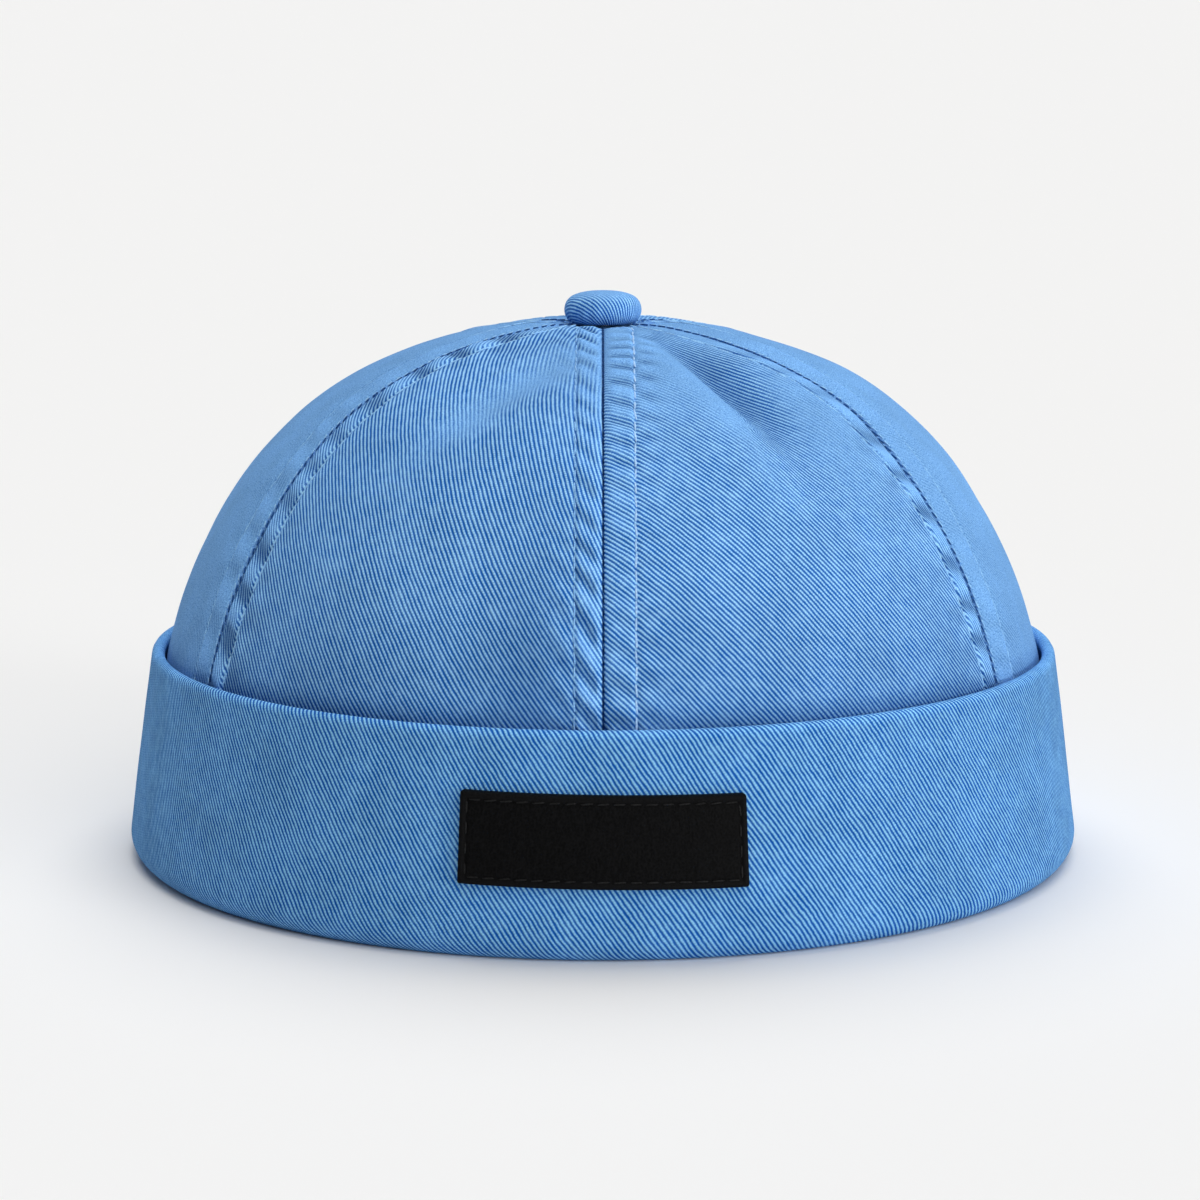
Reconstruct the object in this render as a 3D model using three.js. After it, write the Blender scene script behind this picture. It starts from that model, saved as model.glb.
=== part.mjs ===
// Docker cap: a brimless cap of six sewn panels with a rolled cuff, a covered top button and a plain patch.
// Millimetres, +Z up, front towards -Y, origin on the surface it rests on, under the middle of the cap.
import * as THREE from 'three';
import { mergeVertices } from 'three/addons/utils/BufferGeometryUtils.js';

// Crown sizes
const CROWN_RADIUS = 94.6;
const CROWN_TOP = 114.5;
const CROWN_BASE = 13.2;
const CROWN_WALL = 1.3;
const PANEL_COUNT = 6;
const SEAM_SINK = 0.8;
const SEAM_SPREAD = 5.5;
const TOP_DIP = 1.6;
const TOP_DIP_RADIUS = 8.5;
const CALM_RADIUS = 22;
const FOLD_DEPTH = 3.4;

// Cuff sizes
const CUFF_HEIGHT = 44.5;
const CUFF_WALL = 2.2;
const LIP_THICKNESS = 2.8;
const HEM_HEIGHT = 6.4;
const ROLL_RADIUS = 5.2;
const ROLL_FLAT = 3.6;
const RIM_GAP = 0.6;

// Button sizes
const BUTTON_RADIUS = 8.15;
const BUTTON_HEIGHT = 6.4;
const HOLE_DEPTH = 3.6;
const POST_RADIUS = 1.9;
const TACK_RADIUS = 5.5;
const TACK_THICKNESS = 1.0;

// Patch sizes
const PATCH_WIDTH = 55.4;
const PATCH_HEIGHT = 17.8;
const PATCH_THICKNESS = 1.6;
const PATCH_CENTRE = 23.7;
const PATCH_TILT = 0.7;
const PATCH_EDGE = 0.7;
const PATCH_EDGE_THICKNESS = 1.0;

// Clearance between neighbouring pieces
const GAP = 0.3;

// Mesh densities
const PANEL_ROWS = 18;
const PANEL_COLUMNS = 12;
const CUFF_SEGMENTS = 60;
const BUTTON_SEGMENTS = 24;
const PATCH_COLUMNS = 16;
const ROLL_STEPS = 4;
const LIP_STEPS = 5;
const HOLLOW_STEPS = 6;
const EDGE_CROWDING = 0.35;
const HALVINGS = 40;
const MERGE_DISTANCE = 1e-5;

// Side profile of the crown: climb is a share of its rise, reach a share of its radius
const CROWN_PROFILE = [
  { climb: 0.000, reach: 0.992 },
  { climb: 0.090, reach: 0.998 },
  { climb: 0.185, reach: 1.000 },
  { climb: 0.265, reach: 0.997 },
  { climb: 0.315, reach: 0.988 },
  { climb: 0.414, reach: 0.956 },
  { climb: 0.513, reach: 0.912 },
  { climb: 0.612, reach: 0.855 },
  { climb: 0.711, reach: 0.780 },
  { climb: 0.810, reach: 0.676 },
  { climb: 0.880, reach: 0.566 },
  { climb: 0.933, reach: 0.439 },
  { climb: 0.963, reach: 0.333 },
  { climb: 0.983, reach: 0.236 },
  { climb: 0.995, reach: 0.122 },
  { climb: 1.000, reach: 0.000 },
];

// Soft folds of the crown. azimuth: degrees from the front towards +X. climb: share of the way from the
// base to the top along the cloth. lean: degrees from the meridian. length and width: shares of the crown
// radius. depth: share of the fold depth, negative for a ridge.
const FOLDS = [
  { azimuth: 35.0, climb: 0.66, lean: -12, length: 0.24, width: 0.085, depth: 1.00 },
  { azimuth: 22.0, climb: 0.72, lean: -14, length: 0.22, width: 0.070, depth: -0.30 },
  { azimuth: -21.0, climb: 0.70, lean: 16, length: 0.22, width: 0.080, depth: 0.55 },
  { azimuth: -38.0, climb: 0.64, lean: 10, length: 0.20, width: 0.090, depth: 0.25 },
  { azimuth: 116.0, climb: 0.60, lean: -8, length: 0.24, width: 0.090, depth: 0.45 },
  { azimuth: 152.0, climb: 0.66, lean: 14, length: 0.22, width: 0.090, depth: 0.60 },
  { azimuth: -118.0, climb: 0.58, lean: 9, length: 0.26, width: 0.090, depth: 0.35 },
  { azimuth: -148.0, climb: 0.68, lean: -12, length: 0.20, width: 0.085, depth: 0.50 },
];

// Side outline of the button: reach is a share of its radius, height a share of its height
const BUTTON_PROFILE = [
  { reach: 0.60, height: 0.00 },
  { reach: 0.84, height: 0.08 },
  { reach: 0.97, height: 0.27 },
  { reach: 1.00, height: 0.46 },
  { reach: 0.95, height: 0.68 },
  { reach: 0.78, height: 0.86 },
  { reach: 0.45, height: 0.97 },
  { reach: 0.00, height: 1.00 },
];

// Materials
const clothMaterial = new THREE.MeshStandardMaterial({ color: 0x5796dc, roughness: 0.85, metalness: 0 });
const leatherMaterial = new THREE.MeshStandardMaterial({ color: 0x17171a, roughness: 0.55, metalness: 0 });
const tackMaterial = new THREE.MeshStandardMaterial({ color: 0x9a9ea3, roughness: 0.4, metalness: 0.9 });

const cap = new THREE.Group();
const radians = THREE.MathUtils.degToRad;

// Place a point on a level circle: azimuth in radians, 0 at the front, growing towards +X
function around(radius, azimuth, height) {
  return new THREE.Vector3(radius * Math.sin(azimuth), -radius * Math.cos(azimuth), height);
}

// Make a closed geometry from quads of points, merged and turned so that its faces point outwards
function closedBody(quads) {
  const positions = [];
  for (const [a, b, c, d] of quads) {
    for (const p of [a, b, c, a, c, d]) positions.push(p.x, p.y, p.z);
  }
  let volume = 0;
  for (let i = 0; i < positions.length; i += 9) {
    const a = new THREE.Vector3().fromArray(positions, i);
    const b = new THREE.Vector3().fromArray(positions, i + 3);
    const c = new THREE.Vector3().fromArray(positions, i + 6);
    volume += a.dot(b.cross(c));
  }
  const geometry = new THREE.BufferGeometry();
  geometry.setAttribute('position', new THREE.Float32BufferAttribute(positions, 3));
  const merged = mergeVertices(geometry, MERGE_DISTANCE);
  if (volume < 0) merged.setIndex(Array.from(merged.index.array).reverse());
  merged.computeVertexNormals();
  return merged;
}

// Thin shell between an outer and an inner grid of points, closed along its four borders
function shell(outer, inner) {
  const quads = [];
  const lastRow = outer.length - 1;
  const lastColumn = outer[0].length - 1;
  for (let i = 0; i < lastRow; i += 1) {
    for (let j = 0; j < lastColumn; j += 1) {
      quads.push([outer[i][j], outer[i][j + 1], outer[i + 1][j + 1], outer[i + 1][j]]);
      quads.push([inner[i][j], inner[i + 1][j], inner[i + 1][j + 1], inner[i][j + 1]]);
    }
  }
  for (let i = 0; i < lastRow; i += 1) {
    quads.push([outer[i][0], outer[i + 1][0], inner[i + 1][0], inner[i][0]]);
    const [here, next] = [i, i + 1];
    quads.push([outer[next].at(-1), outer[here].at(-1), inner[here].at(-1), inner[next].at(-1)]);
  }
  for (let j = 0; j < lastColumn; j += 1) {
    quads.push([outer[0][j + 1], outer[0][j], inner[0][j], inner[0][j + 1]]);
    quads.push([outer[lastRow][j], outer[lastRow][j + 1], inner[lastRow][j + 1], inner[lastRow][j]]);
  }
  return closedBody(quads);
}

// Add a named piece to the cap
function addPiece(name, geometry, material) {
  const piece = new THREE.Mesh(geometry, material);
  piece.name = name;
  cap.add(piece);
}

// Crown surface
const profileCurve = new THREE.SplineCurve(CROWN_PROFILE.map(({ climb, reach }) => (
  new THREE.Vector2(reach * CROWN_RADIUS, CROWN_BASE + climb * (CROWN_TOP - CROWN_BASE))
)));
const meridianLength = profileCurve.getLength();

// Smooth mound of height 1 that falls off over the given spread
function mound(distance, spread) {
  return Math.exp(-((distance / spread) ** 2));
}

// How far the folds press the cloth inwards at a place on the crown
function foldDepth(azimuth, climb, radius) {
  let depth = 0;
  for (const fold of FOLDS) {
    const apart = azimuth - radians(fold.azimuth);
    const turn = Math.atan2(Math.sin(apart), Math.cos(apart));
    const side = turn * radius;
    const rise = (climb - fold.climb) * meridianLength;
    const lean = radians(fold.lean);
    const along = side * Math.sin(lean) + rise * Math.cos(lean);
    const across = side * Math.cos(lean) - rise * Math.sin(lean);
    const reach = mound(along, fold.length * CROWN_RADIUS) * mound(across, fold.width * CROWN_RADIUS);
    depth += fold.depth * reach;
  }
  return depth * FOLD_DEPTH;
}

// Outward direction of the crown's side profile, as radius and height
function profileNormal(climb) {
  const tangent = profileCurve.getTangentAt(climb);
  return new THREE.Vector2(tangent.y, -tangent.x);
}

// Distance from a place on the crown to the nearest seam, measured round the cap
function seamDistance(azimuth, radius) {
  const step = (2 * Math.PI) / PANEL_COUNT;
  const turn = azimuth / step - Math.round(azimuth / step);
  return Math.abs(turn) * step * radius;
}

// How far the cloth lies inside its smooth profile at a place on the crown
function sinkAt(azimuth, climb, radius) {
  const seam = SEAM_SINK * mound(seamDistance(azimuth, radius), SEAM_SPREAD);
  const calm = Math.min(1, radius / CALM_RADIUS);
  return seam * calm + foldDepth(azimuth, climb, radius) * calm + TOP_DIP * mound(radius, TOP_DIP_RADIUS);
}

// Point of a crown panel: side runs from -1 to 1 across it, and depth is measured in from the outer face
function panelPoint(middle, side, climb, depth) {
  const base = profileCurve.getPointAt(climb);
  const normal = profileNormal(climb);
  const halfTurn = Math.PI / PANEL_COUNT;
  const smoothAzimuth = middle + side * halfTurn;
  const inset = depth + sinkAt(smoothAzimuth, climb, base.x);
  const radius = base.x - normal.x * inset;
  const edgeTurn = halfTurn - Math.asin(GAP / 2 / radius);
  return around(radius, middle + side * edgeTurn, base.y - normal.y * inset);
}

// Share of the meridian at which the panels end, clear of the button's post
const HOLE_RADIUS = POST_RADIUS + GAP;
const panelEnd = 1 - HOLE_RADIUS / meridianLength;

function makePanel(index) {
  const middle = ((index + 0.5) * 2 * Math.PI) / PANEL_COUNT;
  const grid = (depth) => Array.from({ length: PANEL_ROWS + 1 }, (_, row) => (
    Array.from({ length: PANEL_COLUMNS + 1 }, (__, column) => {
      const evenSide = (2 * column) / PANEL_COLUMNS - 1;
      const side = THREE.MathUtils.lerp(evenSide, Math.sin((evenSide * Math.PI) / 2), EDGE_CROWDING);
      return panelPoint(middle, side, (row / PANEL_ROWS) * panelEnd, depth);
    })
  ));
  addPiece(`crown_panel_${index + 1}`, shell(grid(0), grid(CROWN_WALL)), clothMaterial);
}

for (let index = 0; index < PANEL_COUNT; index += 1) makePanel(index);

// Cuff: a band that hangs from the crown's lower edge, rolls outwards and stands up round the crown
function crownRadiusAt(height) {
  let low = 0;
  let high = 1;
  for (let step = 0; step < HALVINGS; step += 1) {
    const middle = (low + high) / 2;
    if (profileCurve.getPointAt(middle).y < height) low = middle;
    else high = middle;
  }
  return profileCurve.getPointAt(low).x;
}

const crownBaseRadius = crownRadiusAt(CROWN_BASE) - CROWN_WALL / 2;
const rollReach = crownBaseRadius + ROLL_RADIUS - CUFF_WALL / 2;
const rollHeight = Math.sqrt(ROLL_RADIUS ** 2 - (ROLL_FLAT / 2) ** 2);
const lipHalf = LIP_THICKNESS / 2;
const lipHeight = CUFF_HEIGHT - lipHalf;
const lipReach = crownRadiusAt(lipHeight) + RIM_GAP + lipHalf;
const bandTop = CROWN_BASE - GAP;

// Lean of the standing band from the vertical, from the roll to the lip
const standRise = lipHeight - rollHeight;
const standLean = Math.atan2(rollReach + ROLL_RADIUS - lipReach - lipHalf, standRise);

// Radius of the standing band's outer face at a height
function standFaceRadius(height) {
  const foot = rollReach + ROLL_RADIUS * Math.cos(standLean);
  const footHeight = rollHeight + ROLL_RADIUS * Math.sin(standLean);
  return foot - (height - footHeight) * Math.tan(standLean);
}

// Points of an arc in the cuff's section, angles in radians from straight outwards
function arcPoints(centre, radius, from, to, steps) {
  return Array.from({ length: steps + 1 }, (_, step) => {
    const angle = from + ((to - from) * step) / steps;
    const spoke = new THREE.Vector2(Math.cos(angle), Math.sin(angle)).multiplyScalar(radius);
    return spoke.add(centre);
  });
}

function cuffSection() {
  const rollAngle = Math.acos(ROLL_FLAT / 2 / ROLL_RADIUS);
  const innerRoll = ROLL_RADIUS - CUFF_WALL;
  const roll = new THREE.Vector2(rollReach, rollHeight);
  const lipMiddle = new THREE.Vector2(lipReach, lipHeight);
  const insideFoot = arcPoints(roll, ROLL_RADIUS, -Math.PI, -Math.PI + rollAngle, ROLL_STEPS);
  const outsideFoot = arcPoints(roll, ROLL_RADIUS, -rollAngle, standLean, ROLL_STEPS);
  const lip = arcPoints(lipMiddle, lipHalf, standLean, Math.PI + standLean, LIP_STEPS);
  const hollow = arcPoints(roll, innerRoll, standLean, -Math.PI, HOLLOW_STEPS);
  const bandFaces = [crownBaseRadius + CUFF_WALL / 2, crownBaseRadius - CUFF_WALL / 2];
  const hemHeight = CUFF_HEIGHT - HEM_HEIGHT;
  const hem = new THREE.Vector2(standFaceRadius(hemHeight) - CUFF_WALL, hemHeight);
  const bandEnd = bandFaces.map((radius) => new THREE.Vector2(radius, bandTop));
  return [...insideFoot, ...outsideFoot, ...lip, hem, ...hollow, ...bandEnd];
}

function makeCuff() {
  const section = cuffSection();
  const quads = [];
  const ring = (point, segment) => around(point.x, (segment * 2 * Math.PI) / CUFF_SEGMENTS, point.y);
  for (let segment = 0; segment < CUFF_SEGMENTS; segment += 1) {
    const next = (segment + 1) % CUFF_SEGMENTS;
    section.forEach((point, index) => {
      const other = section[(index + 1) % section.length];
      quads.push([ring(point, segment), ring(point, next), ring(other, next), ring(other, segment)]);
    });
  }
  addPiece('cuff', closedBody(quads), clothMaterial);
}

makeCuff();

// Button and the tack that holds it through the top of the crown
const crownTopOuter = CROWN_TOP - TOP_DIP * mound(BUTTON_RADIUS * BUTTON_PROFILE[0].reach, TOP_DIP_RADIUS);
const crownTopInner = CROWN_TOP - TOP_DIP - CROWN_WALL;
const buttonBase = crownTopOuter + GAP;
const holeTop = buttonBase + HOLE_DEPTH;

function makeButton() {
  const outline = [new THREE.Vector2(0, holeTop), new THREE.Vector2(HOLE_RADIUS, holeTop)];
  outline.push(new THREE.Vector2(HOLE_RADIUS, buttonBase));
  for (const { reach, height } of BUTTON_PROFILE) {
    outline.push(new THREE.Vector2(reach * BUTTON_RADIUS, buttonBase + height * BUTTON_HEIGHT));
  }
  addPiece('button', turned(outline), clothMaterial);
}

// Turn an outline of radius and height once round the cap's axis
function turned(outline) {
  const quads = [];
  for (let segment = 0; segment < BUTTON_SEGMENTS; segment += 1) {
    const here = (segment * 2 * Math.PI) / BUTTON_SEGMENTS;
    const there = ((segment + 1) % BUTTON_SEGMENTS) * 2 * Math.PI / BUTTON_SEGMENTS;
    for (let index = 0; index + 1 < outline.length; index += 1) {
      const low = outline[index];
      const high = outline[index + 1];
      quads.push([
        around(low.x, here, low.y), around(low.x, there, low.y),
        around(high.x, there, high.y), around(high.x, here, high.y),
      ]);
    }
  }
  return closedBody(quads);
}

function makeTack() {
  const plateTop = crownTopInner - GAP;
  const plateBottom = plateTop - TACK_THICKNESS;
  const outline = [
    new THREE.Vector2(0, plateBottom),
    new THREE.Vector2(TACK_RADIUS, plateBottom),
    new THREE.Vector2(TACK_RADIUS, plateTop),
    new THREE.Vector2(POST_RADIUS, plateTop),
    new THREE.Vector2(POST_RADIUS, holeTop - GAP),
    new THREE.Vector2(0, holeTop - GAP),
  ];
  addPiece('button_tack', turned(outline), tackMaterial);
}

makeButton();
makeTack();

// Patch on the front of the cuff
function makePatch() {
  const heights = [-0.5, -0.5 + PATCH_EDGE / PATCH_HEIGHT, 0, 0.5 - PATCH_EDGE / PATCH_HEIGHT, 0.5];
  const edgeShare = PATCH_EDGE / PATCH_WIDTH;
  const widths = [-0.5];
  for (let column = 0; column <= PATCH_COLUMNS; column += 1) {
    widths.push(-0.5 + edgeShare + ((1 - 2 * edgeShare) * column) / PATCH_COLUMNS);
  }
  widths.push(0.5);
  const grid = (outerFace) => heights.map((heightShare) => widths.map((widthShare) => {
    const side = widthShare * PATCH_WIDTH;
    const rise = heightShare * PATCH_HEIGHT;
    const tilt = radians(PATCH_TILT);
    const height = PATCH_CENTRE + rise * Math.cos(tilt) - side * Math.sin(tilt);
    const onBorder = Math.abs(heightShare) === 0.5 || Math.abs(widthShare) === 0.5;
    const thickness = onBorder ? PATCH_EDGE_THICKNESS : PATCH_THICKNESS;
    const lift = outerFace ? thickness : 0;
    const radius = standFaceRadius(height) + GAP + lift;
    return around(radius, side / standFaceRadius(PATCH_CENTRE), height);
  }));
  addPiece('patch', shell(grid(true), grid(false)), leatherMaterial);
}

makePatch();

export default cap;
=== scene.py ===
"""Docker cap in washed blue twill.

A domed crown of six panels, a rolled cuff, a covered button and a bare patch. The shapes are worked out in
millimetres and written in metres. +Z is up, -Y is the front with the patch, and +X is to the right as seen
from the front. Every size that the solids have too is the same here, but the button's outline is slightly
rounder than the solid's.
"""

import logging
import math
from collections.abc import Sequence
from dataclasses import astuple, dataclass, field
from enum import Enum

import bpy
import numpy as np
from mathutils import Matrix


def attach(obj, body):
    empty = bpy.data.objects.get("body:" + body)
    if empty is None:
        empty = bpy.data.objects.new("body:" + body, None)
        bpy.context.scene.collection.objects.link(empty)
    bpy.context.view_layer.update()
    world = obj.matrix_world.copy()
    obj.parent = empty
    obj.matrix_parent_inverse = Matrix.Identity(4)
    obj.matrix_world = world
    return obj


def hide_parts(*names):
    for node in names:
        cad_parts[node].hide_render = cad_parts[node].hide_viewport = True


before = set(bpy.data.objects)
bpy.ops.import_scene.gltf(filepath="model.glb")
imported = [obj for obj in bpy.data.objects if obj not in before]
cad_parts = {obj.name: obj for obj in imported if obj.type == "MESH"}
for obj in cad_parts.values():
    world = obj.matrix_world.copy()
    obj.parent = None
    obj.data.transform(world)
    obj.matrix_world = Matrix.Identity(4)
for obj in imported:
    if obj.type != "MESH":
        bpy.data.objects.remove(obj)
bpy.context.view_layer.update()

METRES = 0.001
BODY = "root"

# The flat cloth map, and the values kept at each vertex for the finishes. The wear value holds real wear
# above 0, with some painted light, and painted shade below 0. The seam value is painted shade in creases and
# beside rows of stitches.
WEAVE_MAP = "weave"
WEAR_AND_PAINTED_SHADING = "wear"
SEAM = "seam"
RUB = "rub"
OUTWARD = "outward"

log = logging.getLogger("docker_cap")

Array = np.ndarray
Colour = tuple[float, float, float]
Limits = tuple[float, float]


# Small helpers


def mound(distance: Array, spread: Array | float) -> Array:
    """Smooth mound of height 1 that falls off over the spread."""
    return np.exp(-((distance / spread) ** 2))


def step(value: Array, low: Array | float, high: Array | float) -> Array:
    """Smooth step from 0 at low to 1 at high."""
    share = np.clip((value - low) / (high - low), 0.0, 1.0)
    return share * share * (3.0 - 2.0 * share)


def around(radius: Array, azimuth: Array, height: Array) -> Array:
    """Points on level circles, with azimuth 0 at the front and growing towards +X."""
    parts = np.broadcast_arrays(radius * np.sin(azimuth), -radius * np.cos(azimuth), height)
    return np.stack(parts, axis=-1)


def swing_from(degrees: float, azimuth: Array) -> Array:
    """Angles from a direction in degrees to each azimuth, at most half a turn either way."""
    swing = azimuth - math.radians(degrees)
    return np.arctan2(np.sin(swing), np.cos(swing))


def spline(points: Sequence[tuple[float, float]], steps: int) -> Array:
    """Samples a smooth curve through points, with the end points used twice.

    Args:
        points: the places that the curve goes through.
        steps: how many samples each stretch gets.

    Returns:
        The samples, one row each, with the last point at the end.
    """
    known = np.array([points[0], *points, points[-1]], float)
    t = (np.arange(steps) / steps)[:, None]
    rows = []
    for before, start, end, after in zip(known, known[1:], known[2:], known[3:]):
        leave, arrive = (end - before) / 2, (after - start) / 2
        cubic = 2 * start - 2 * end + leave + arrive
        square = -3 * start + 3 * end - 2 * leave - arrive
        rows.append(cubic * t**3 + square * t**2 + leave * t + start)
    return np.vstack([*rows, known[-1:]])


def lengths_along(line: Array) -> Array:
    """Distance along a line of points, from 0 at its first point."""
    return np.concatenate([[0.0], np.cumsum(np.linalg.norm(np.diff(line, axis=0), axis=1))])


def mesh_object(
    name: str,
    points: Array,
    faces: list[list[int]],
    weave: Array | None = None,
    marks: dict[str, Array] | None = None,
) -> bpy.types.Object:
    """Makes a smooth mesh object from points in millimetres.

    Args:
        name: the object's name.
        points: one row for each vertex.
        faces: the vertex numbers of each face.
        weave: flat place on the cloth for each vertex, in millimetres.
        marks: further values for each vertex, such as its wear.

    Returns:
        The object, in the scene and at the origin.
    """
    mesh = bpy.data.meshes.new(name)
    mesh.from_pydata((points * METRES).tolist(), [], faces)
    mesh.update()
    if weave is not None:
        layer = mesh.uv_layers.new(name=WEAVE_MAP)
        corners = np.zeros(len(mesh.loops), np.int32)
        mesh.loops.foreach_get("vertex_index", corners)
        layer.data.foreach_set("uv", weave[corners].astype(np.float32).ravel())
    for mark, values in (marks or {}).items():
        layer = mesh.attributes.new(mark, "FLOAT", "POINT")
        layer.data.foreach_set("value", values.astype(np.float32).ravel())
    mesh.shade_smooth()
    piece = bpy.data.objects.new(name, mesh)
    bpy.context.scene.collection.objects.link(piece)
    return piece


def shell(outer: Array, inner: Array) -> tuple[Array, list[list[int]]]:
    """Closes an outer and an inner grid of points into one thin body.

    Args:
        outer: grid of points of the outer face, rows upwards and columns to the right as seen from outside.
        inner: grid of the same size for the inner face.

    Returns:
        The points and the faces.
    """
    rows, columns = outer.shape[:2]
    front = np.arange(rows * columns).reshape(rows, columns)
    back = front + rows * columns
    low, high = front[:-1], front[1:]
    faces = [np.stack([low[:, :-1], low[:, 1:], high[:, 1:], high[:, :-1]], -1).reshape(-1, 4)]
    low, high = back[:-1], back[1:]
    faces.append(np.stack([low[:, :-1], high[:, :-1], high[:, 1:], low[:, 1:]], -1).reshape(-1, 4))
    for edge, other, turned in (
        (front[:, 0], back[:, 0], False),
        (front[:, -1], back[:, -1], True),
        (front[0], back[0], True),
        (front[-1], back[-1], False),
    ):
        wall = np.stack([edge[:-1], edge[1:], other[1:], other[:-1]], -1)
        faces.append(wall[:, ::-1] if turned else wall)
    points = np.vstack([outer.reshape(-1, 3), inner.reshape(-1, 3)])
    return points, np.vstack(faces).tolist()


def dress(piece: bpy.types.Object, slot: str, *nodes: str) -> bpy.types.Object:
    """Ties a piece to the body, hides the solids that it stands for, and logs its faces and material slot.

    Args:
        piece: the finished piece.
        slot: the record's material slot.
        nodes: the solids that the piece replaces, if any.

    Returns:
        The same piece.
    """
    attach(piece, BODY)
    if nodes:
        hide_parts(*nodes)
    log.info("%s: %d faces, %s", piece.name, len(piece.data.polygons), slot)
    return piece


# Node trees


class Tree:
    """Adds nodes to one node tree, with their settings and inputs in one call."""

    def __init__(self, tree: bpy.types.NodeTree) -> None:
        """Works on the given tree."""
        self.tree = tree

    def add(
        self, kind: str, *values: object, named: dict[str, object] | None = None, **settings: object
    ) -> bpy.types.Node:
        """Adds a node.

        Args:
            kind: Blender's name for the node type.
            values: inputs in order, each a number, a colour or a socket to link.
            named: inputs by name.
            settings: the node's own settings.

        Returns:
            The node.
        """
        node = self.tree.nodes.new(kind)
        for key, value in settings.items():
            setattr(node, key, value)
        shown = [socket for socket in node.inputs if socket.enabled]
        pairs = list(zip(shown, values))
        for key, value in (named or {}).items():
            pairs.append((next(socket for socket in shown if socket.name == key), value))
        for socket, value in pairs:
            if isinstance(value, bpy.types.NodeSocket):
                self.tree.links.new(value, socket)
            elif value is not None:
                socket.default_value = value
        return node

    def out(self, kind: str, *values: object, output: str = "", **settings: object) -> bpy.types.NodeSocket:
        """Adds a node for one of its outputs.

        Args:
            kind: Blender's name for the node type.
            values: inputs in order.
            output: the output's name, or nothing for the first one shown.
            settings: inputs by name and the node's own settings, as in add.

        Returns:
            The output socket.
        """
        node = self.add(kind, *values, **settings)
        shown = [socket for socket in node.outputs if socket.enabled]
        return next(socket for socket in shown if not output or socket.name == output)

    def math(self, operation: str, *values: object, clamp: bool = False) -> bpy.types.NodeSocket:
        """Adds one step of arithmetic."""
        return self.out("ShaderNodeMath", *values, operation=operation, use_clamp=clamp)

    def ramp(
        self, value: object, low: object, high: object, first: float = 0.0, last: float = 1.0
    ) -> bpy.types.NodeSocket:
        """Smooth change from first to last while the value goes from low to high."""
        limits = (low, high, first, last)
        return self.out("ShaderNodeMapRange", value, *limits, interpolation_type="SMOOTHSTEP")

    def mix(self, share: object, first: object, last: object, blend: str = "MIX") -> bpy.types.NodeSocket:
        """Mixes two colours."""
        return self.out("ShaderNodeMix", share, first, last, data_type="RGBA", blend_type=blend)

    def scale(self, vector: object, by: object) -> bpy.types.NodeSocket:
        """Scales a place, a direction or a colour."""
        return self.out("ShaderNodeVectorMath", vector, operation="SCALE", named={"Scale": by})

    def noise(
        self, place: object, scale: float, detail: float = 2.0, rough: float = 0.5
    ) -> bpy.types.NodeSocket:
        """Soft noise from 0 to 1."""
        named = {"Vector": place, "Scale": scale, "Detail": detail, "Roughness": rough}
        return self.out("ShaderNodeTexNoise", named=named, noise_dimensions="3D")

    def centred(self, value: object) -> bpy.types.NodeSocket:
        """Moves a value from 0 to 1 down to lie between minus a half and a half."""
        return self.math("SUBTRACT", value, 0.5)

    def bump(self, height: object, distance: float, strength: float = 1.0) -> bpy.types.NodeSocket:
        """Turns a height into a normal, with the distance in millimetres."""
        named = {"Strength": strength, "Distance": distance * METRES, "Height": height}
        return self.out("ShaderNodeBump", named=named)

    def mark(self, name: str) -> bpy.types.NodeSocket:
        """Reads a value that is kept at each vertex."""
        return self.out("ShaderNodeAttribute", attribute_name=name, output="Fac")

    def keep(self, mesh: object, name: str, value: object, **settings: object) -> bpy.types.NodeSocket:
        """Keeps a value on a mesh under a name, in Geometry Nodes."""
        named = {"Name": name, "Value": value}
        return self.out("GeometryNodeStoreNamedAttribute", mesh, named=named, **settings)

    def place_group(self, group: bpy.types.ShaderNodeTree, values: dict[str, object]) -> bpy.types.Node:
        """Puts a shared shader group into the tree.

        Args:
            group: the group.
            values: the group's inputs by name, each a number or a socket to link.

        Returns:
            The group's node.
        """
        node = self.tree.nodes.new("ShaderNodeGroup")
        node.node_tree = group
        for key, value in values.items():
            if isinstance(value, bpy.types.NodeSocket):
                self.tree.links.new(value, node.inputs[key])
            else:
                node.inputs[key].default_value = value
        return node


def colour(value: Colour) -> tuple[float, float, float, float]:
    """Adds full alpha to a colour."""
    return (*value, 1.0)


def new_group(
    name: str, kind: str, inputs: dict[str, tuple[str, object]], outputs: dict[str, str]
) -> tuple[bpy.types.NodeTree, Tree, object, bpy.types.Node]:
    """Makes a node group with named sockets.

    Args:
        name: the group's name.
        kind: the type of tree.
        inputs: for each input its socket type and value.
        outputs: for each output its socket type.

    Returns:
        The group, a Tree for it, its input node's sockets by name, and its output node.
    """
    group = bpy.data.node_groups.new(name, kind)
    for key, (socket_type, value) in inputs.items():
        socket = group.interface.new_socket(name=key, in_out="INPUT", socket_type=socket_type)
        if value is not None:
            socket.default_value = value
    for key, socket_type in outputs.items():
        group.interface.new_socket(name=key, in_out="OUTPUT", socket_type=socket_type)
    tree = Tree(group)
    source = tree.add("NodeGroupInput").outputs
    return group, tree, source, tree.add("NodeGroupOutput")


FLOAT = "NodeSocketFloat"
VECTOR = "NodeSocketVector"
GEOMETRY = "NodeSocketGeometry"
INTEGER = "NodeSocketInt"
MATERIAL = "NodeSocketMaterial"


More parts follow.
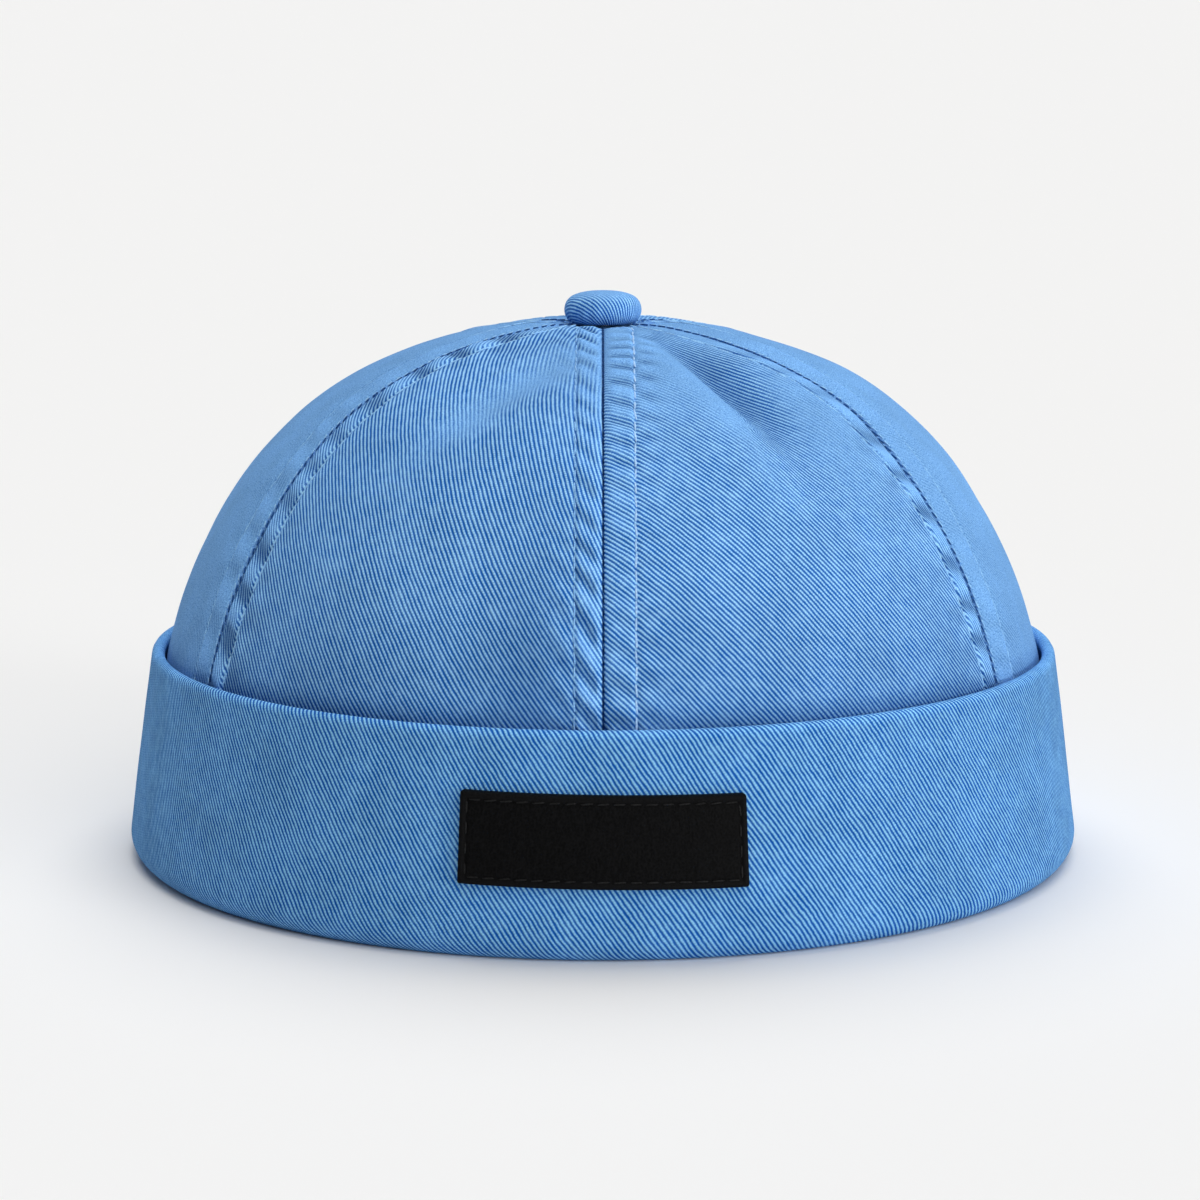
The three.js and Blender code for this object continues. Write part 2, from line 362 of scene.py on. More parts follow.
def twill_group() -> bpy.types.ShaderNodeTree:
    """Diagonal twill ribs with their yarns, on a flat place in millimetres.

    Returns:
        A group whose Tone is the share of the ridge colour and whose Height is the relief, both 0 to 1.
        Smooth goes from 0, full ribs, to 1, where only the fine grain of the cloth is left.
    """
    inputs = {
        "Flat Place": (VECTOR, (0.0, 0.0, 0.0)),
        "Rib Pitch": (FLOAT, 0.88),
        "Rib Angle": (FLOAT, 0.63),
        "Wander": (FLOAT, 0.4),
        "Yarn Length": (FLOAT, 0.5),
        "Unevenness": (FLOAT, 0.3),
        "Smooth": (FLOAT, 0.0),
        "Smooth Tone": (FLOAT, 0.5),
    }
    long_sway, short_sway = 2.2, 0.42
    yarn_lag = 0.37
    yarn_hump, yarn_foot = 0.44, 0.66
    rib_spacing, spin_stretch = 7.31, 0.33
    spin_share, fuzz_share = 1.5, 0.9
    cloud_share, grain_share = 0.35, 1.5
    outputs = {"Tone": FLOAT, "Height": FLOAT}
    group, tree, source, end = new_group("Twill ribs", "ShaderNodeTree", inputs, outputs)
    flat = source["Flat Place"]
    across, up, _ = tree.add("ShaderNodeSeparateXYZ", flat).outputs
    cosine = tree.math("COSINE", source["Rib Angle"])
    sine = tree.math("SINE", source["Rib Angle"])
    sway = tree.centred(tree.noise(flat, 0.07, 2.0))
    shake = tree.centred(tree.noise(flat, 0.9, 1.0))
    bend = tree.math("MULTIPLY_ADD", sway, long_sway, tree.math("MULTIPLY", shake, short_sway))
    side = tree.math("MULTIPLY_ADD", across, cosine, tree.math("MULTIPLY", up, sine))
    side = tree.math("MULTIPLY_ADD", bend, source["Wander"], side)
    along = tree.math("SUBTRACT", tree.math("MULTIPLY", across, sine), tree.math("MULTIPLY", up, cosine))
    ribs = tree.math("DIVIDE", side, source["Rib Pitch"])
    number = tree.math("ROUND", ribs)
    turn = tree.math("MULTIPLY", ribs, math.tau)
    crest = tree.math("MULTIPLY_ADD", tree.math("COSINE", turn), 0.5, 0.5)
    lag = tree.math("MULTIPLY", number, yarn_lag)
    share = tree.math("FRACT", tree.math("ADD", tree.math("DIVIDE", along, source["Yarn Length"]), lag))
    rest = tree.math("SUBTRACT", 1.0, share)
    hump = tree.math("MULTIPLY", tree.math("MULTIPLY", share, rest), 4.0)
    yarn = tree.math("MULTIPLY_ADD", hump, yarn_hump, yarn_foot)
    rib = tree.math("MULTIPLY", tree.ramp(crest, 0.10, 1.00), yarn)
    rib_place = tree.out(
        "ShaderNodeCombineXYZ",
        tree.math("MULTIPLY", number, rib_spacing),
        tree.math("MULTIPLY", along, spin_stretch),
        0.0,
    )
    spun = tree.centred(tree.noise(rib_place, 1.0, 3.0, 0.6))
    fuzz = tree.centred(tree.noise(flat, 3.2, 2.0, 0.6))
    cloud = tree.centred(tree.noise(flat, 1.2, 3.0, 0.65))
    uneven = tree.math("MULTIPLY_ADD", spun, spin_share, tree.math("MULTIPLY", fuzz, fuzz_share))
    grain = tree.math("MULTIPLY_ADD", fuzz, grain_share, source["Smooth Tone"])
    grain = tree.math("MULTIPLY_ADD", cloud, cloud_share, grain)
    ribbed = tree.math("MULTIPLY_ADD", uneven, source["Unevenness"], rib)
    change = tree.math("MULTIPLY", tree.math("SUBTRACT", grain, ribbed), source["Smooth"])
    tone = tree.math("ADD", ribbed, change, clamp=True)
    flatter = tree.math("SUBTRACT", 1.0, source["Smooth"])
    height = tree.math("MULTIPLY_ADD", fuzz, fuzz_share, tree.math("MULTIPLY", rib, flatter))
    tree.tree.links.new(tone, end.inputs["Tone"])
    tree.tree.links.new(height, end.inputs["Height"])
    return group


def fading_group() -> bpy.types.ShaderNodeTree:
    """Uneven fading of washed cloth.

    Returns:
        A group whose Fade goes from 0, deep, to 1, faded, in soft patches and small flecks.
    """
    inputs = {"Place": (VECTOR, (0.0, 0.0, 0.0)), "Patch Size": (FLOAT, 14.0), "Flecks": (FLOAT, 0.35)}
    group, tree, source, end = new_group("Washed fading", "ShaderNodeTree", inputs, {"Fade": FLOAT})
    place = tree.scale(source["Place"], tree.math("DIVIDE", 1.0, source["Patch Size"]))
    patches = tree.noise(place, 1.0, 4.0, 0.6)
    flecks = tree.centred(tree.noise(source["Place"], 1.1, 2.0, 0.6))
    fade = tree.math("ADD", patches, tree.math("MULTIPLY", flecks, source["Flecks"]))
    tree.tree.links.new(tree.ramp(fade, 0.25, 0.75), end.inputs["Fade"])
    return group


# Finishes


def new_material(name: str) -> tuple[bpy.types.Material, Tree, bpy.types.Node]:
    """Makes a material.

    Args:
        name: the material's name.

    Returns:
        The material, a Tree for it, and its main shader.
    """
    material = bpy.data.materials.new(name)
    material.use_nodes = True
    tree = Tree(material.node_tree)
    return material, tree, material.node_tree.nodes["Principled BSDF"]


def object_place(tree: Tree) -> bpy.types.NodeSocket:
    """Object coordinates in millimetres."""
    place = tree.add("ShaderNodeTexCoord").outputs["Object"]
    return tree.scale(place, 1.0 / METRES)


@dataclass(frozen=True)
class ClothFinish:
    """Washed cotton twill: deep grooves, paler ridges, fading in patches and wear on what stands out, with
    painted shade in folds, creases and low places and some painted light.

    Lengths are in millimetres and the rib angle is in degrees. The rest are shares.
    """

    name: str
    groove: Colour = (0.008, 0.110, 0.450)
    ridge: Colour = (0.355, 0.680, 1.000)
    # The colour that painted shade in creases and beside rows darkens to, and the tint of painted shade in
    # folds and low places
    deep: Colour = (0.006, 0.040, 0.170)
    shade: Colour = (0.05, 0.15, 0.28)
    rib_pitch: float = 0.86
    rib_angle: float = 36.0
    wander: float = 0.38
    yarn_length: float = 0.55
    unevenness: float = 0.52
    strength: float = 1.0
    relief: float = 0.10
    fade: float = 0.17
    # How much the wear value lightens, partly as painted light, and how much it darkens below 0 as painted
    # shade
    wear: float = 0.22
    painted_shade: float = 0.58
    smooth_tone: float = 0.45
    smooth_patches: float = 0.28
    even_fade: float = 0.45
    # Painted shade in creases and beside rows of stitches, with the ridges partly over it
    ridge_cover: float = 0.35
    painted_seam_shade: float = 1.35
    roughness: float = 0.88
    specular: float = 0.05
    sheen: float = 0.05
    sheen_roughness: float = 0.32
    sheen_tint: Colour = (0.30, 0.65, 1.00)

    def make(self, twill: bpy.types.ShaderNodeTree, fading: bpy.types.ShaderNodeTree) -> bpy.types.Material:
        """Builds the material.

        Args:
            twill: the shared group of the ribs.
            fading: the shared group of the fading.

        Returns:
            The material.
        """
        material, tree, shader = new_material(self.name)
        fade = tree.place_group(fading, {"Place": object_place(tree)}).outputs["Fade"]
        patches = tree.math("MULTIPLY", tree.math("SUBTRACT", fade, self.even_fade), self.smooth_patches)
        ribs = tree.place_group(twill, {
            "Flat Place": tree.out("ShaderNodeUVMap", uv_map=WEAVE_MAP),
            "Rib Pitch": self.rib_pitch,
            "Rib Angle": math.radians(self.rib_angle),
            "Wander": self.wander,
            "Yarn Length": self.yarn_length,
            "Unevenness": self.unevenness,
            "Smooth": tree.math("ADD", tree.mark(RUB), patches, clamp=True),
            "Smooth Tone": self.smooth_tone,
        }).outputs
        # The wear value lightens worn places, partly as painted light on ripple crests and the cuff's lip
        wear = tree.mark(WEAR_AND_PAINTED_SHADING)
        worn = tree.math("MULTIPLY_ADD", tree.math("MAXIMUM", wear, 0.0), self.wear, 1.0)
        strength = tree.math("MULTIPLY_ADD", fade, self.fade, self.strength - self.fade / 2)
        cloth = tree.mix(ribs["Tone"], colour(self.groove), colour(self.ridge))
        cloth = tree.scale(cloth, tree.math("MULTIPLY", strength, worn))
        # Below 0 the wear value darkens the cloth as painted shade
        hidden = tree.math("MULTIPLY", wear, -self.painted_shade, clamp=True)
        cloth = tree.mix(hidden, cloth, colour(self.shade), "MULTIPLY")
        # Painted shade in the creases and beside the rows of stitches
        seam = tree.math("MULTIPLY", tree.mark(SEAM), self.painted_seam_shade)
        dark = tree.math("MULTIPLY_ADD", ribs["Tone"], -self.ridge_cover, seam)
        cloth = tree.mix(tree.ramp(dark, 0.25, 0.85), cloth, colour(self.deep))
        tree.tree.links.new(cloth, shader.inputs["Base Color"])
        tree.tree.links.new(tree.bump(ribs["Height"], self.relief), shader.inputs["Normal"])
        shader.inputs["Roughness"].default_value = self.roughness
        shader.inputs["Specular IOR Level"].default_value = self.specular
        shader.inputs["Sheen Weight"].default_value = self.sheen
        shader.inputs["Sheen Roughness"].default_value = self.sheen_roughness
        shader.inputs["Sheen Tint"].default_value = colour(self.sheen_tint)
        return material


@dataclass(frozen=True)
class ThreadFinish:
    """Twisted sewing thread."""

    light: Colour
    dark: Colour
    roughness: float = 0.6
    specular: float = 0.3
    relief: float = 0.06

    def make(self, name: str) -> bpy.types.Material:
        """Builds the material.

        Args:
            name: the material's name.

        Returns:
            The material.
        """
        material, tree, shader = new_material(name)
        twist = tree.noise(object_place(tree), 3.5, 2.0)
        thread = tree.mix(tree.ramp(twist, 0.35, 0.65), colour(self.dark), colour(self.light))
        tree.tree.links.new(thread, shader.inputs["Base Color"])
        tree.tree.links.new(tree.bump(twist, self.relief, 0.6), shader.inputs["Normal"])
        shader.inputs["Roughness"].default_value = self.roughness
        shader.inputs["Specular IOR Level"].default_value = self.specular
        return material


@dataclass(frozen=True)
class LeatherFinish:
    """Black fine grained leather with a low sheen, with its lengths in millimetres."""

    name: str = "patch leather"
    dark: Colour = (0.0011, 0.0011, 0.0012)
    light: Colour = (0.0050, 0.0050, 0.0054)
    grain_size: float = 0.45
    streak_lean: float = 52.0
    streak_stretch: float = 0.28
    relief: float = 0.14
    wear: float = 0.6
    specular: float = 0.05

    def make(self) -> bpy.types.Material:
        """Builds the material.

        Returns:
            The material.
        """
        material, tree, shader = new_material(self.name)
        place = object_place(tree)
        slant = {
            "Rotation": (0.0, math.radians(self.streak_lean), 0.0),
            "Scale": (1.0, 1.0, self.streak_stretch),
        }
        streaks = tree.noise(tree.out("ShaderNodeMapping", place, named=slant), 2.1, 4.0, 0.65)
        grains = {"Vector": place, "Scale": 1.0 / self.grain_size}
        cells = tree.out("ShaderNodeTexVoronoi", named=grains, output="Distance")
        grain = tree.math("MULTIPLY_ADD", cells, 0.5, streaks)
        worn = tree.math("MULTIPLY", tree.mark(WEAR_AND_PAINTED_SHADING), self.wear)
        share = tree.math("ADD", tree.ramp(grain, 0.45, 1.05), worn, clamp=True)
        leather = tree.mix(share, colour(self.dark), colour(self.light))
        tree.tree.links.new(leather, shader.inputs["Base Color"])
        tree.tree.links.new(tree.bump(grain, self.relief), shader.inputs["Normal"])
        tree.tree.links.new(tree.ramp(streaks, 0.3, 0.7, 0.50, 0.66), shader.inputs["Roughness"])
        shader.inputs["Specular IOR Level"].default_value = self.specular
        return material


@dataclass(frozen=True)
class SteelFinish:
    """Plain dull steel of the hidden tack, with its lengths in millimetres."""

    name: str = "tack steel"
    dark: Colour = (0.26, 0.27, 0.28)
    light: Colour = (0.40, 0.41, 0.43)
    relief: float = 0.03

    def make(self) -> bpy.types.Material:
        """Builds the material.

        Returns:
            The material.
        """
        material, tree, shader = new_material(self.name)
        drawn = tree.out("ShaderNodeMapping", object_place(tree), named={"Scale": (0.3, 6.0, 6.0)})
        brushed = tree.noise(drawn, 1.0, 3.0)
        steel = tree.mix(brushed, colour(self.dark), colour(self.light))
        tree.tree.links.new(steel, shader.inputs["Base Color"])
        tree.tree.links.new(tree.bump(brushed, self.relief, 0.3), shader.inputs["Normal"])
        tree.tree.links.new(tree.ramp(brushed, 0.3, 0.7, 0.34, 0.5), shader.inputs["Roughness"])
        shader.inputs["Metallic"].default_value = 1.0
        return material


class Thread(Enum):
    """The sewing threads of the cap."""

    PALE = "pale thread"
    BLUE = "blue thread"
    EDGE = "edge thread"
    SEAM = "seam thread"
    BLACK = "black thread"


THREADS = {
    Thread.PALE: ThreadFinish((0.50, 0.74, 1.00), (0.28, 0.50, 0.84)),
    Thread.BLUE: ThreadFinish((0.38, 0.68, 1.00), (0.16, 0.42, 0.82)),
    Thread.EDGE: ThreadFinish((0.40, 0.72, 1.00), (0.22, 0.50, 0.90)),
    Thread.SEAM: ThreadFinish((0.03, 0.12, 0.36), (0.006, 0.04, 0.15), specular=0.05),
    Thread.BLACK: ThreadFinish((0.0110, 0.0110, 0.0115), (0.0020, 0.0020, 0.0020), specular=0.18),
}


@dataclass
class Finishes:
    """Every material of the cap, made once."""

    crown: bpy.types.Material = field(init=False)
    cuff: bpy.types.Material = field(init=False)
    button: bpy.types.Material = field(init=False)
    threads: dict[Thread, bpy.types.Material] = field(init=False)
    leather: bpy.types.Material = field(init=False)
    steel: bpy.types.Material = field(init=False)

    def __post_init__(self) -> None:
        """Builds the shared groups and the materials."""
        twill, fading = twill_group(), fading_group()
        crown = ClothFinish("crown twill", strength=1.08)
        cuff = ClothFinish(
            "cuff twill",
            groove=(0.005, 0.102, 0.460),
            ridge=(0.300, 0.665, 1.000),
            rib_angle=33.0,
            wander=0.60,
            strength=0.91,
        )
        button = ClothFinish("button twill", rib_pitch=0.78, rib_angle=38.0, wander=0.5, strength=1.15)
        self.crown, self.cuff, self.button = (cloth.make(twill, fading) for cloth in (crown, cuff, button))
        self.threads = {thread: finish.make(thread.value) for thread, finish in THREADS.items()}
        self.leather = LeatherFinish().make()
        self.steel = SteelFinish().make()


# Geometry Nodes


def stitch_group() -> bpy.types.GeometryNodeTree:
    """Stitches along the edges of a mesh whose points know which way is outward.

    Returns:
        A group that puts one small rounded stitch at each pitch, with a slight seeded unevenness.
    """
    inputs = {
        "Line": (GEOMETRY, None),
        "Pitch": (FLOAT, 3.2 * METRES),
        "Length": (FLOAT, 2.8 * METRES),
        "Width": (FLOAT, 0.45 * METRES),
        "Thickness": (FLOAT, 0.35 * METRES),
        "Slant": (FLOAT, 0.0),
        "Unevenness": (FLOAT, 0.08),
        "Seed": (INTEGER, 1),
        "Thread": (MATERIAL, None),
    }
    ball_sides, ball_rings = 7, 6
    bluntness = 0.55
    seed_step = 7.0
    outputs = {"Stitches": GEOMETRY}
    group, tree, source, end = new_group("Row of stitches", "GeometryNodeTree", inputs, outputs)
    line = tree.out("GeometryNodeMeshToCurve", source["Line"])
    points = tree.out("GeometryNodeResampleCurve", line, None, source["Pitch"], mode="LENGTH")
    outward = tree.out("GeometryNodeInputNamedAttribute", OUTWARD, data_type="FLOAT_VECTOR")
    forward = tree.out("GeometryNodeInputTangent")
    sideways = tree.out("ShaderNodeVectorMath", outward, forward, operation="CROSS_PRODUCT")
    leaning = tree.scale(sideways, source["Slant"])
    spread = source["Unevenness"]
    least = tree.math("MULTIPLY", spread, -1.0)
    shaken = tree.out(
        "FunctionNodeRandomValue",
        tree.out("ShaderNodeCombineXYZ", least, least, least),
        tree.out("ShaderNodeCombineXYZ", spread, spread, spread),
        named={"Seed": source["Seed"]},
        data_type="FLOAT_VECTOR",
    )
    heading = tree.out("ShaderNodeVectorMath", forward, leaning, operation="ADD")
    heading = tree.out("ShaderNodeVectorMath", heading, shaken, operation="ADD")
    turn = tree.out(
        "FunctionNodeAxesToRotation",
        named={"Primary Axis": outward, "Secondary Axis": heading},
        primary_axis="Z",
        secondary_axis="X",
    )
    ball = tree.out("GeometryNodeMeshUVSphere", ball_sides, ball_rings, 0.5)
    ball = tree.out("GeometryNodeTransform", ball, named={"Rotation": (0.0, math.pi / 2, 0.0)})
    place = tree.out("GeometryNodeInputPosition")
    end_place, side_place, top_place = tree.add("ShaderNodeSeparateXYZ", place).outputs
    out_share = tree.math("MULTIPLY", tree.math("ABSOLUTE", end_place), 2.0)
    blunt = tree.math("MULTIPLY", tree.math("POWER", out_share, bluntness), 0.5)
    blunt = tree.math("MULTIPLY", blunt, tree.math("SIGN", end_place))
    blunt_place = tree.out("ShaderNodeCombineXYZ", blunt, side_place, top_place)
    ball = tree.out("GeometryNodeSetPosition", ball, named={"Position": blunt_place})
    size = tree.out("ShaderNodeCombineXYZ", source["Length"], source["Width"], source["Thickness"])
    stitch = tree.out("GeometryNodeTransform", ball, named={"Scale": size})
    grown = tree.out(
        "FunctionNodeRandomValue",
        tree.math("SUBTRACT", 1.0, spread),
        tree.math("ADD", 1.0, spread),
        named={"Seed": tree.math("ADD", source["Seed"], seed_step)},
        data_type="FLOAT",
    )
    named = {"Instance": stitch, "Rotation": turn, "Scale": grown}
    placed = tree.out("GeometryNodeInstanceOnPoints", points, named=named)
    real = tree.out("GeometryNodeSetShadeSmooth", tree.out("GeometryNodeRealizeInstances", placed))
    dressed = tree.out("GeometryNodeSetMaterial", real, named={"Material": source["Thread"]})
    tree.tree.links.new(dressed, end.inputs["Stitches"])
    return group


def band_group() -> bpy.types.GeometryNodeTree:
    """A closed section carried once round the cap's axis, with the soft waves of sewn cloth.

    Returns:
        A group that takes the section as a loop in the XZ plane and gives the closed band with its cloth map.
    """
    inputs = {
        "Section": (GEOMETRY, None),
        "Segments": (INTEGER, 360),
        "Section Steps": (INTEGER, 190),
        "Cloth Radius": (FLOAT, 98.0),
        "Cloth Length": (FLOAT, 128.0),
        "Wave Depth": (FLOAT, 0.9 * METRES),
        "Calm Angle": (FLOAT, 0.42),
        "Full Angle": (FLOAT, 0.85),
        "Foot Height": (FLOAT, 4.0 * METRES),
        "Wave Height": (FLOAT, 16.0 * METRES),
        "Inner Radius": (FLOAT, 94.5 * METRES),
        "Outer Radius": (FLOAT, 97.5 * METRES),
        "Lip Height": (FLOAT, 43.1 * METRES),
        "Back Seam Depth": (FLOAT, 0.35 * METRES),
        "Cloth": (MATERIAL, None),
    }
    column_stretch = 9.0
    dent_sharpness = -0.4
    seam_shade = 0.7
    lip_light_from, lip_light_to = -0.8 * METRES, 1.1 * METRES
    join_distance = 0.01 * METRES
    group, tree, source, end = new_group("Rolled band", "GeometryNodeTree", inputs, {"Band": GEOMETRY})
    columns = tree.math("ADD", source["Segments"], 1.0)
    rows = tree.math("ADD", source["Section Steps"], 1.0)
    grid = tree.out("GeometryNodeMeshGrid", 1.0, 1.0, columns, rows)
    east, north, _ = tree.add("ShaderNodeSeparateXYZ", tree.out("GeometryNodeInputPosition")).outputs
    angle = tree.math("MULTIPLY", east, math.tau)
    share = tree.math("ADD", north, 0.5)
    loop = tree.out("GeometryNodeMeshToCurve", source["Section"])
    named = {"Factor": share}
    sample = tree.out("GeometryNodeSampleCurve", loop, named=named, mode="FACTOR", output="Position")
    reach, _, height = tree.add("ShaderNodeSeparateXYZ", sample).outputs
    sine, cosine = tree.math("SINE", angle), tree.math("COSINE", angle)
    column = tree.out("ShaderNodeCombineXYZ", sine, cosine, tree.math("MULTIPLY", height, column_stretch))
    swell = tree.math("MULTIPLY", tree.centred(tree.noise(column, 2.1, 3.0, 0.45)), source["Wave Depth"])
    calm = tree.ramp(tree.math("ABSOLUTE", angle), source["Calm Angle"], source["Full Angle"])
    lifted = tree.ramp(height, source["Foot Height"], source["Wave Height"])
    wave = tree.math("MULTIPLY", swell, tree.math("MULTIPLY", calm, lifted))
    to_back = tree.math("SUBTRACT", math.pi, tree.math("ABSOLUTE", angle))
    back = tree.math("MULTIPLY", to_back, source["Cloth Radius"])
    squared = tree.math("MULTIPLY", back, back)
    dent = tree.math("EXPONENT", tree.math("MULTIPLY", squared, dent_sharpness))
    outer = tree.ramp(reach, source["Inner Radius"], source["Outer Radius"])
    dent_depth = tree.math("MULTIPLY", tree.math("MULTIPLY", dent, outer), source["Back Seam Depth"])
    radius = tree.math("SUBTRACT", tree.math("ADD", reach, wave), dent_depth)
    place = tree.out(
        "ShaderNodeCombineXYZ",
        tree.math("MULTIPLY", radius, sine),
        tree.math("MULTIPLY", tree.math("MULTIPLY", radius, cosine), -1.0),
        height,
    )
    flat = tree.out(
        "ShaderNodeCombineXYZ",
        tree.math("MULTIPLY", angle, source["Cloth Radius"]),
        tree.math("MULTIPLY", share, source["Cloth Length"]),
        0.0,
    )
    mesh = tree.keep(grid, WEAVE_MAP, flat, data_type="FLOAT2", domain="CORNER")
    # Lighter top of the lip, partly wear of the rolled edge and partly painted highlight
    wear = tree.ramp(tree.math("SUBTRACT", height, source["Lip Height"]), lip_light_from, lip_light_to)
    mesh = tree.keep(mesh, WEAR_AND_PAINTED_SHADING, wear, data_type="FLOAT")
    # Painted shade in the dent of the back seam
    mesh = tree.keep(mesh, SEAM, tree.math("MULTIPLY", dent, seam_shade), data_type="FLOAT")
    mesh = tree.out("GeometryNodeSetPosition", mesh, named={"Position": place})
    mesh = tree.out("GeometryNodeMergeByDistance", mesh, named={"Distance": join_distance})
    mesh = tree.out("GeometryNodeSetShadeSmooth", tree.out("GeometryNodeRealizeInstances", mesh))
    mesh = tree.out("GeometryNodeSetMaterial", mesh, named={"Material": source["Cloth"]})
    tree.tree.links.new(mesh, end.inputs["Band"])
    return group


def grow(
    name: str, source: bpy.types.Object, group: bpy.types.GeometryNodeTree, values: dict[str, object]
) -> bpy.types.Object:
    """Runs a Geometry Nodes group on a helper object and keeps the result as a plain mesh.

    Args:
        name: the finished piece's name.
        source: the helper object, removed afterwards.
        group: the group.
        values: the group's inputs by name.

    Returns:
        The finished piece.
    """
    modifier = source.modifiers.new(group.name, "NODES")
    modifier.node_group = group
    for item in group.interface.items_tree:
        if item.item_type == "SOCKET" and item.in_out == "INPUT" and item.name in values:
            modifier[item.identifier] = values[item.name]
    graph = bpy.context.evaluated_depsgraph_get()
    mesh = bpy.data.meshes.new_from_object(source.evaluated_get(graph))
    mesh.name = name
    source.modifiers.remove(modifier)
    bpy.data.objects.remove(source)
    piece = bpy.data.objects.new(name, mesh)
    bpy.context.scene.collection.objects.link(piece)
    return piece


def line_object(
    name: str, lines: Sequence[Array], outward: Sequence[Array], closed: bool = False
) -> bpy.types.Object:
    """Makes a helper mesh of lines in millimetres.

    Args:
        name: the helper's name.
        lines: the points of each line.
        outward: the outward directions of each line's points, or nothing.
        closed: whether each line ends where it starts.

    Returns:
        The helper object.
    """
    edges: list[tuple[int, int]] = []
    first = 0
    for line in lines:
        last = first + len(line) - 1
        edges.extend((index, index + 1) for index in range(first, last))
        if closed:
            edges.append((last, first))
        first = last + 1
    mesh = bpy.data.meshes.new(name)
    mesh.from_pydata((np.vstack(lines) * METRES).tolist(), edges, [])
    if len(outward):
        layer = mesh.attributes.new(OUTWARD, "FLOAT_VECTOR", "POINT")
        layer.data.foreach_set("vector", np.vstack(outward).astype(np.float32).ravel())
    helper = bpy.data.objects.new(name, mesh)
    bpy.context.scene.collection.objects.link(helper)
    return helper


@dataclass(frozen=True)
class Stitches:
    """Size and thread of one row of stitches, with lengths in millimetres."""

    thread: Thread
    pitch: float
    length: float
    width: float
    slant: float
    thickness: float = 0.32
    unevenness: float = 0.10
    seed: int = 11

    def values(self, finishes: Finishes) -> dict[str, object]:
        """The inputs of the stitch group.

        Args:
            finishes: the materials.

        Returns:
            The inputs by name.
        """
        return {
            "Pitch": self.pitch * METRES,
            "Length": self.length * METRES,
            "Width": self.width * METRES,
            "Thickness": self.thickness * METRES,
            "Slant": self.slant,
            "Unevenness": self.unevenness,
            "Seed": self.seed,
            "Thread": finishes.threads[self.thread],
        }


# Crown


@dataclass(frozen=True)
class Fold:
    """A soft fold of the crown.

    Angles are in degrees, and the climb is a share of the way up. Length and width are shares of the crown's
    radius, and the depth is a share of the deepest fold.
    """

    azimuth: float
    climb: float
    lean: float
    length: float
    width: float
    depth: float

    def distances(self, azimuth: Array, climb: Array, radius: Array, meridian: float) -> tuple[Array, Array]:
        """How far places lie from the fold's middle.

        Args:
            azimuth: angles round the cap.
            climb: shares of the way up.
            radius: radius of the profile at each place.
            meridian: length of the whole way up.

        Returns:
            The distances along the fold and across it.
        """
        side = swing_from(self.azimuth, azimuth) * radius
        rise = (climb - self.climb) * meridian
        lean = math.radians(self.lean)
        along = side * math.sin(lean) + rise * math.cos(lean)
        across = side * math.cos(lean) - rise * math.sin(lean)
        return along, across


@dataclass(frozen=True)
class Crease(Fold):
    """A sharper fold.

    A drop of 0 is even, one near 1 has a steep left side and one near -1 a steep right side. A shade above 0
    is painted shade, dark cloth with fresh ribs, and one below 0 is rubbed cloth, lighter partly as painted
    light.
    """

    drop: float
    shade: float


@dataclass(frozen=True)
class Rub:
    """A place where washing has rubbed the ribs smooth, with azimuth in degrees and size in millimetres."""

    azimuth: float
    climb: float
    size: float
    strength: float


@dataclass(frozen=True)
class Sway:
    """A slow change along a seam: its size, its length in millimetres and how much the phase shifts it."""

    size: float
    length: float
    shift: float

    def at(self, along: Array, phase: Array) -> Array:
        """The change at distances along the seam."""
        return self.size * np.sin(along / self.length + self.shift * phase)


class Band(Enum):
    """The sewn bands beside the seams. Inner ones lie on the front side of their seam."""

    FRONT_LEFT = 0
    FRONT_RIGHT = 1
    LEFT_OUTER = 2
    LEFT_INNER = 3
    RIGHT_INNER = 4
    RIGHT_OUTER = 5
    BACK = 6


@dataclass(frozen=True)
class BandLook:
    """Ripples, puckers and darkening of a sewn band: gloom darkens the whole band, and line is painted shade
    in a dark line beside its row of stitches.

    The pitch, the line's width and its shift towards the seam are in millimetres. The tilt is how far a
    ripple climbs for each millimetre sideways. The rest are shares.
    """

    pitch: float | Array
    tilt: float | Array
    ripple: float | Array
    pucker: float | Array
    top_fading: float | Array
    gloom: float | Array
    line: float | Array
    line_width: float | Array
    line_shift: float | Array


BAND_LOOKS = {
    Band.FRONT_LEFT: BandLook(7.8, 1.1, 1.12, 0.45, 0.00, 0.21, 0.40, 0.42, 0.00),
    Band.FRONT_RIGHT: BandLook(6.0, 0.5, 0.90, 1.00, 0.60, 0.00, 0.25, 0.42, 0.00),
    Band.LEFT_OUTER: BandLook(10.3, 0.3, 0.45, 0.45, 0.00, 0.00, 0.62, 0.60, 0.40),
    Band.LEFT_INNER: BandLook(10.3, 0.3, 1.60, 0.45, 0.00, 0.21, 0.42, 0.45, 0.40),
    Band.RIGHT_INNER: BandLook(10.3, 0.3, 0.90, 0.45, 0.00, 0.00, 0.42, 0.45, 0.40),
    Band.RIGHT_OUTER: BandLook(10.3, 0.3, 0.20, 0.45, 0.00, 0.00, 0.62, 0.60, 0.40),
    Band.BACK: BandLook(10.3, 0.3, 0.45, 0.45, 0.00, 0.00, 0.42, 0.45, 0.40),
}

FOLDS = (
    Fold(35.0, 0.66, -12, 0.24, 0.085, 1.00),
    Fold(22.0, 0.72, -14, 0.22, 0.070, -0.30),
    Fold(-21.0, 0.70, 16, 0.22, 0.080, 0.55),
    Fold(-38.0, 0.64, 10, 0.20, 0.090, 0.25),
    Fold(116.0, 0.60, -8, 0.24, 0.090, 0.45),
    Fold(152.0, 0.66, 14, 0.22, 0.090, 0.60),
    Fold(-118.0, 0.58, 9, 0.26, 0.090, 0.35),
    Fold(-148.0, 0.68, -12, 0.20, 0.085, 0.50),
)
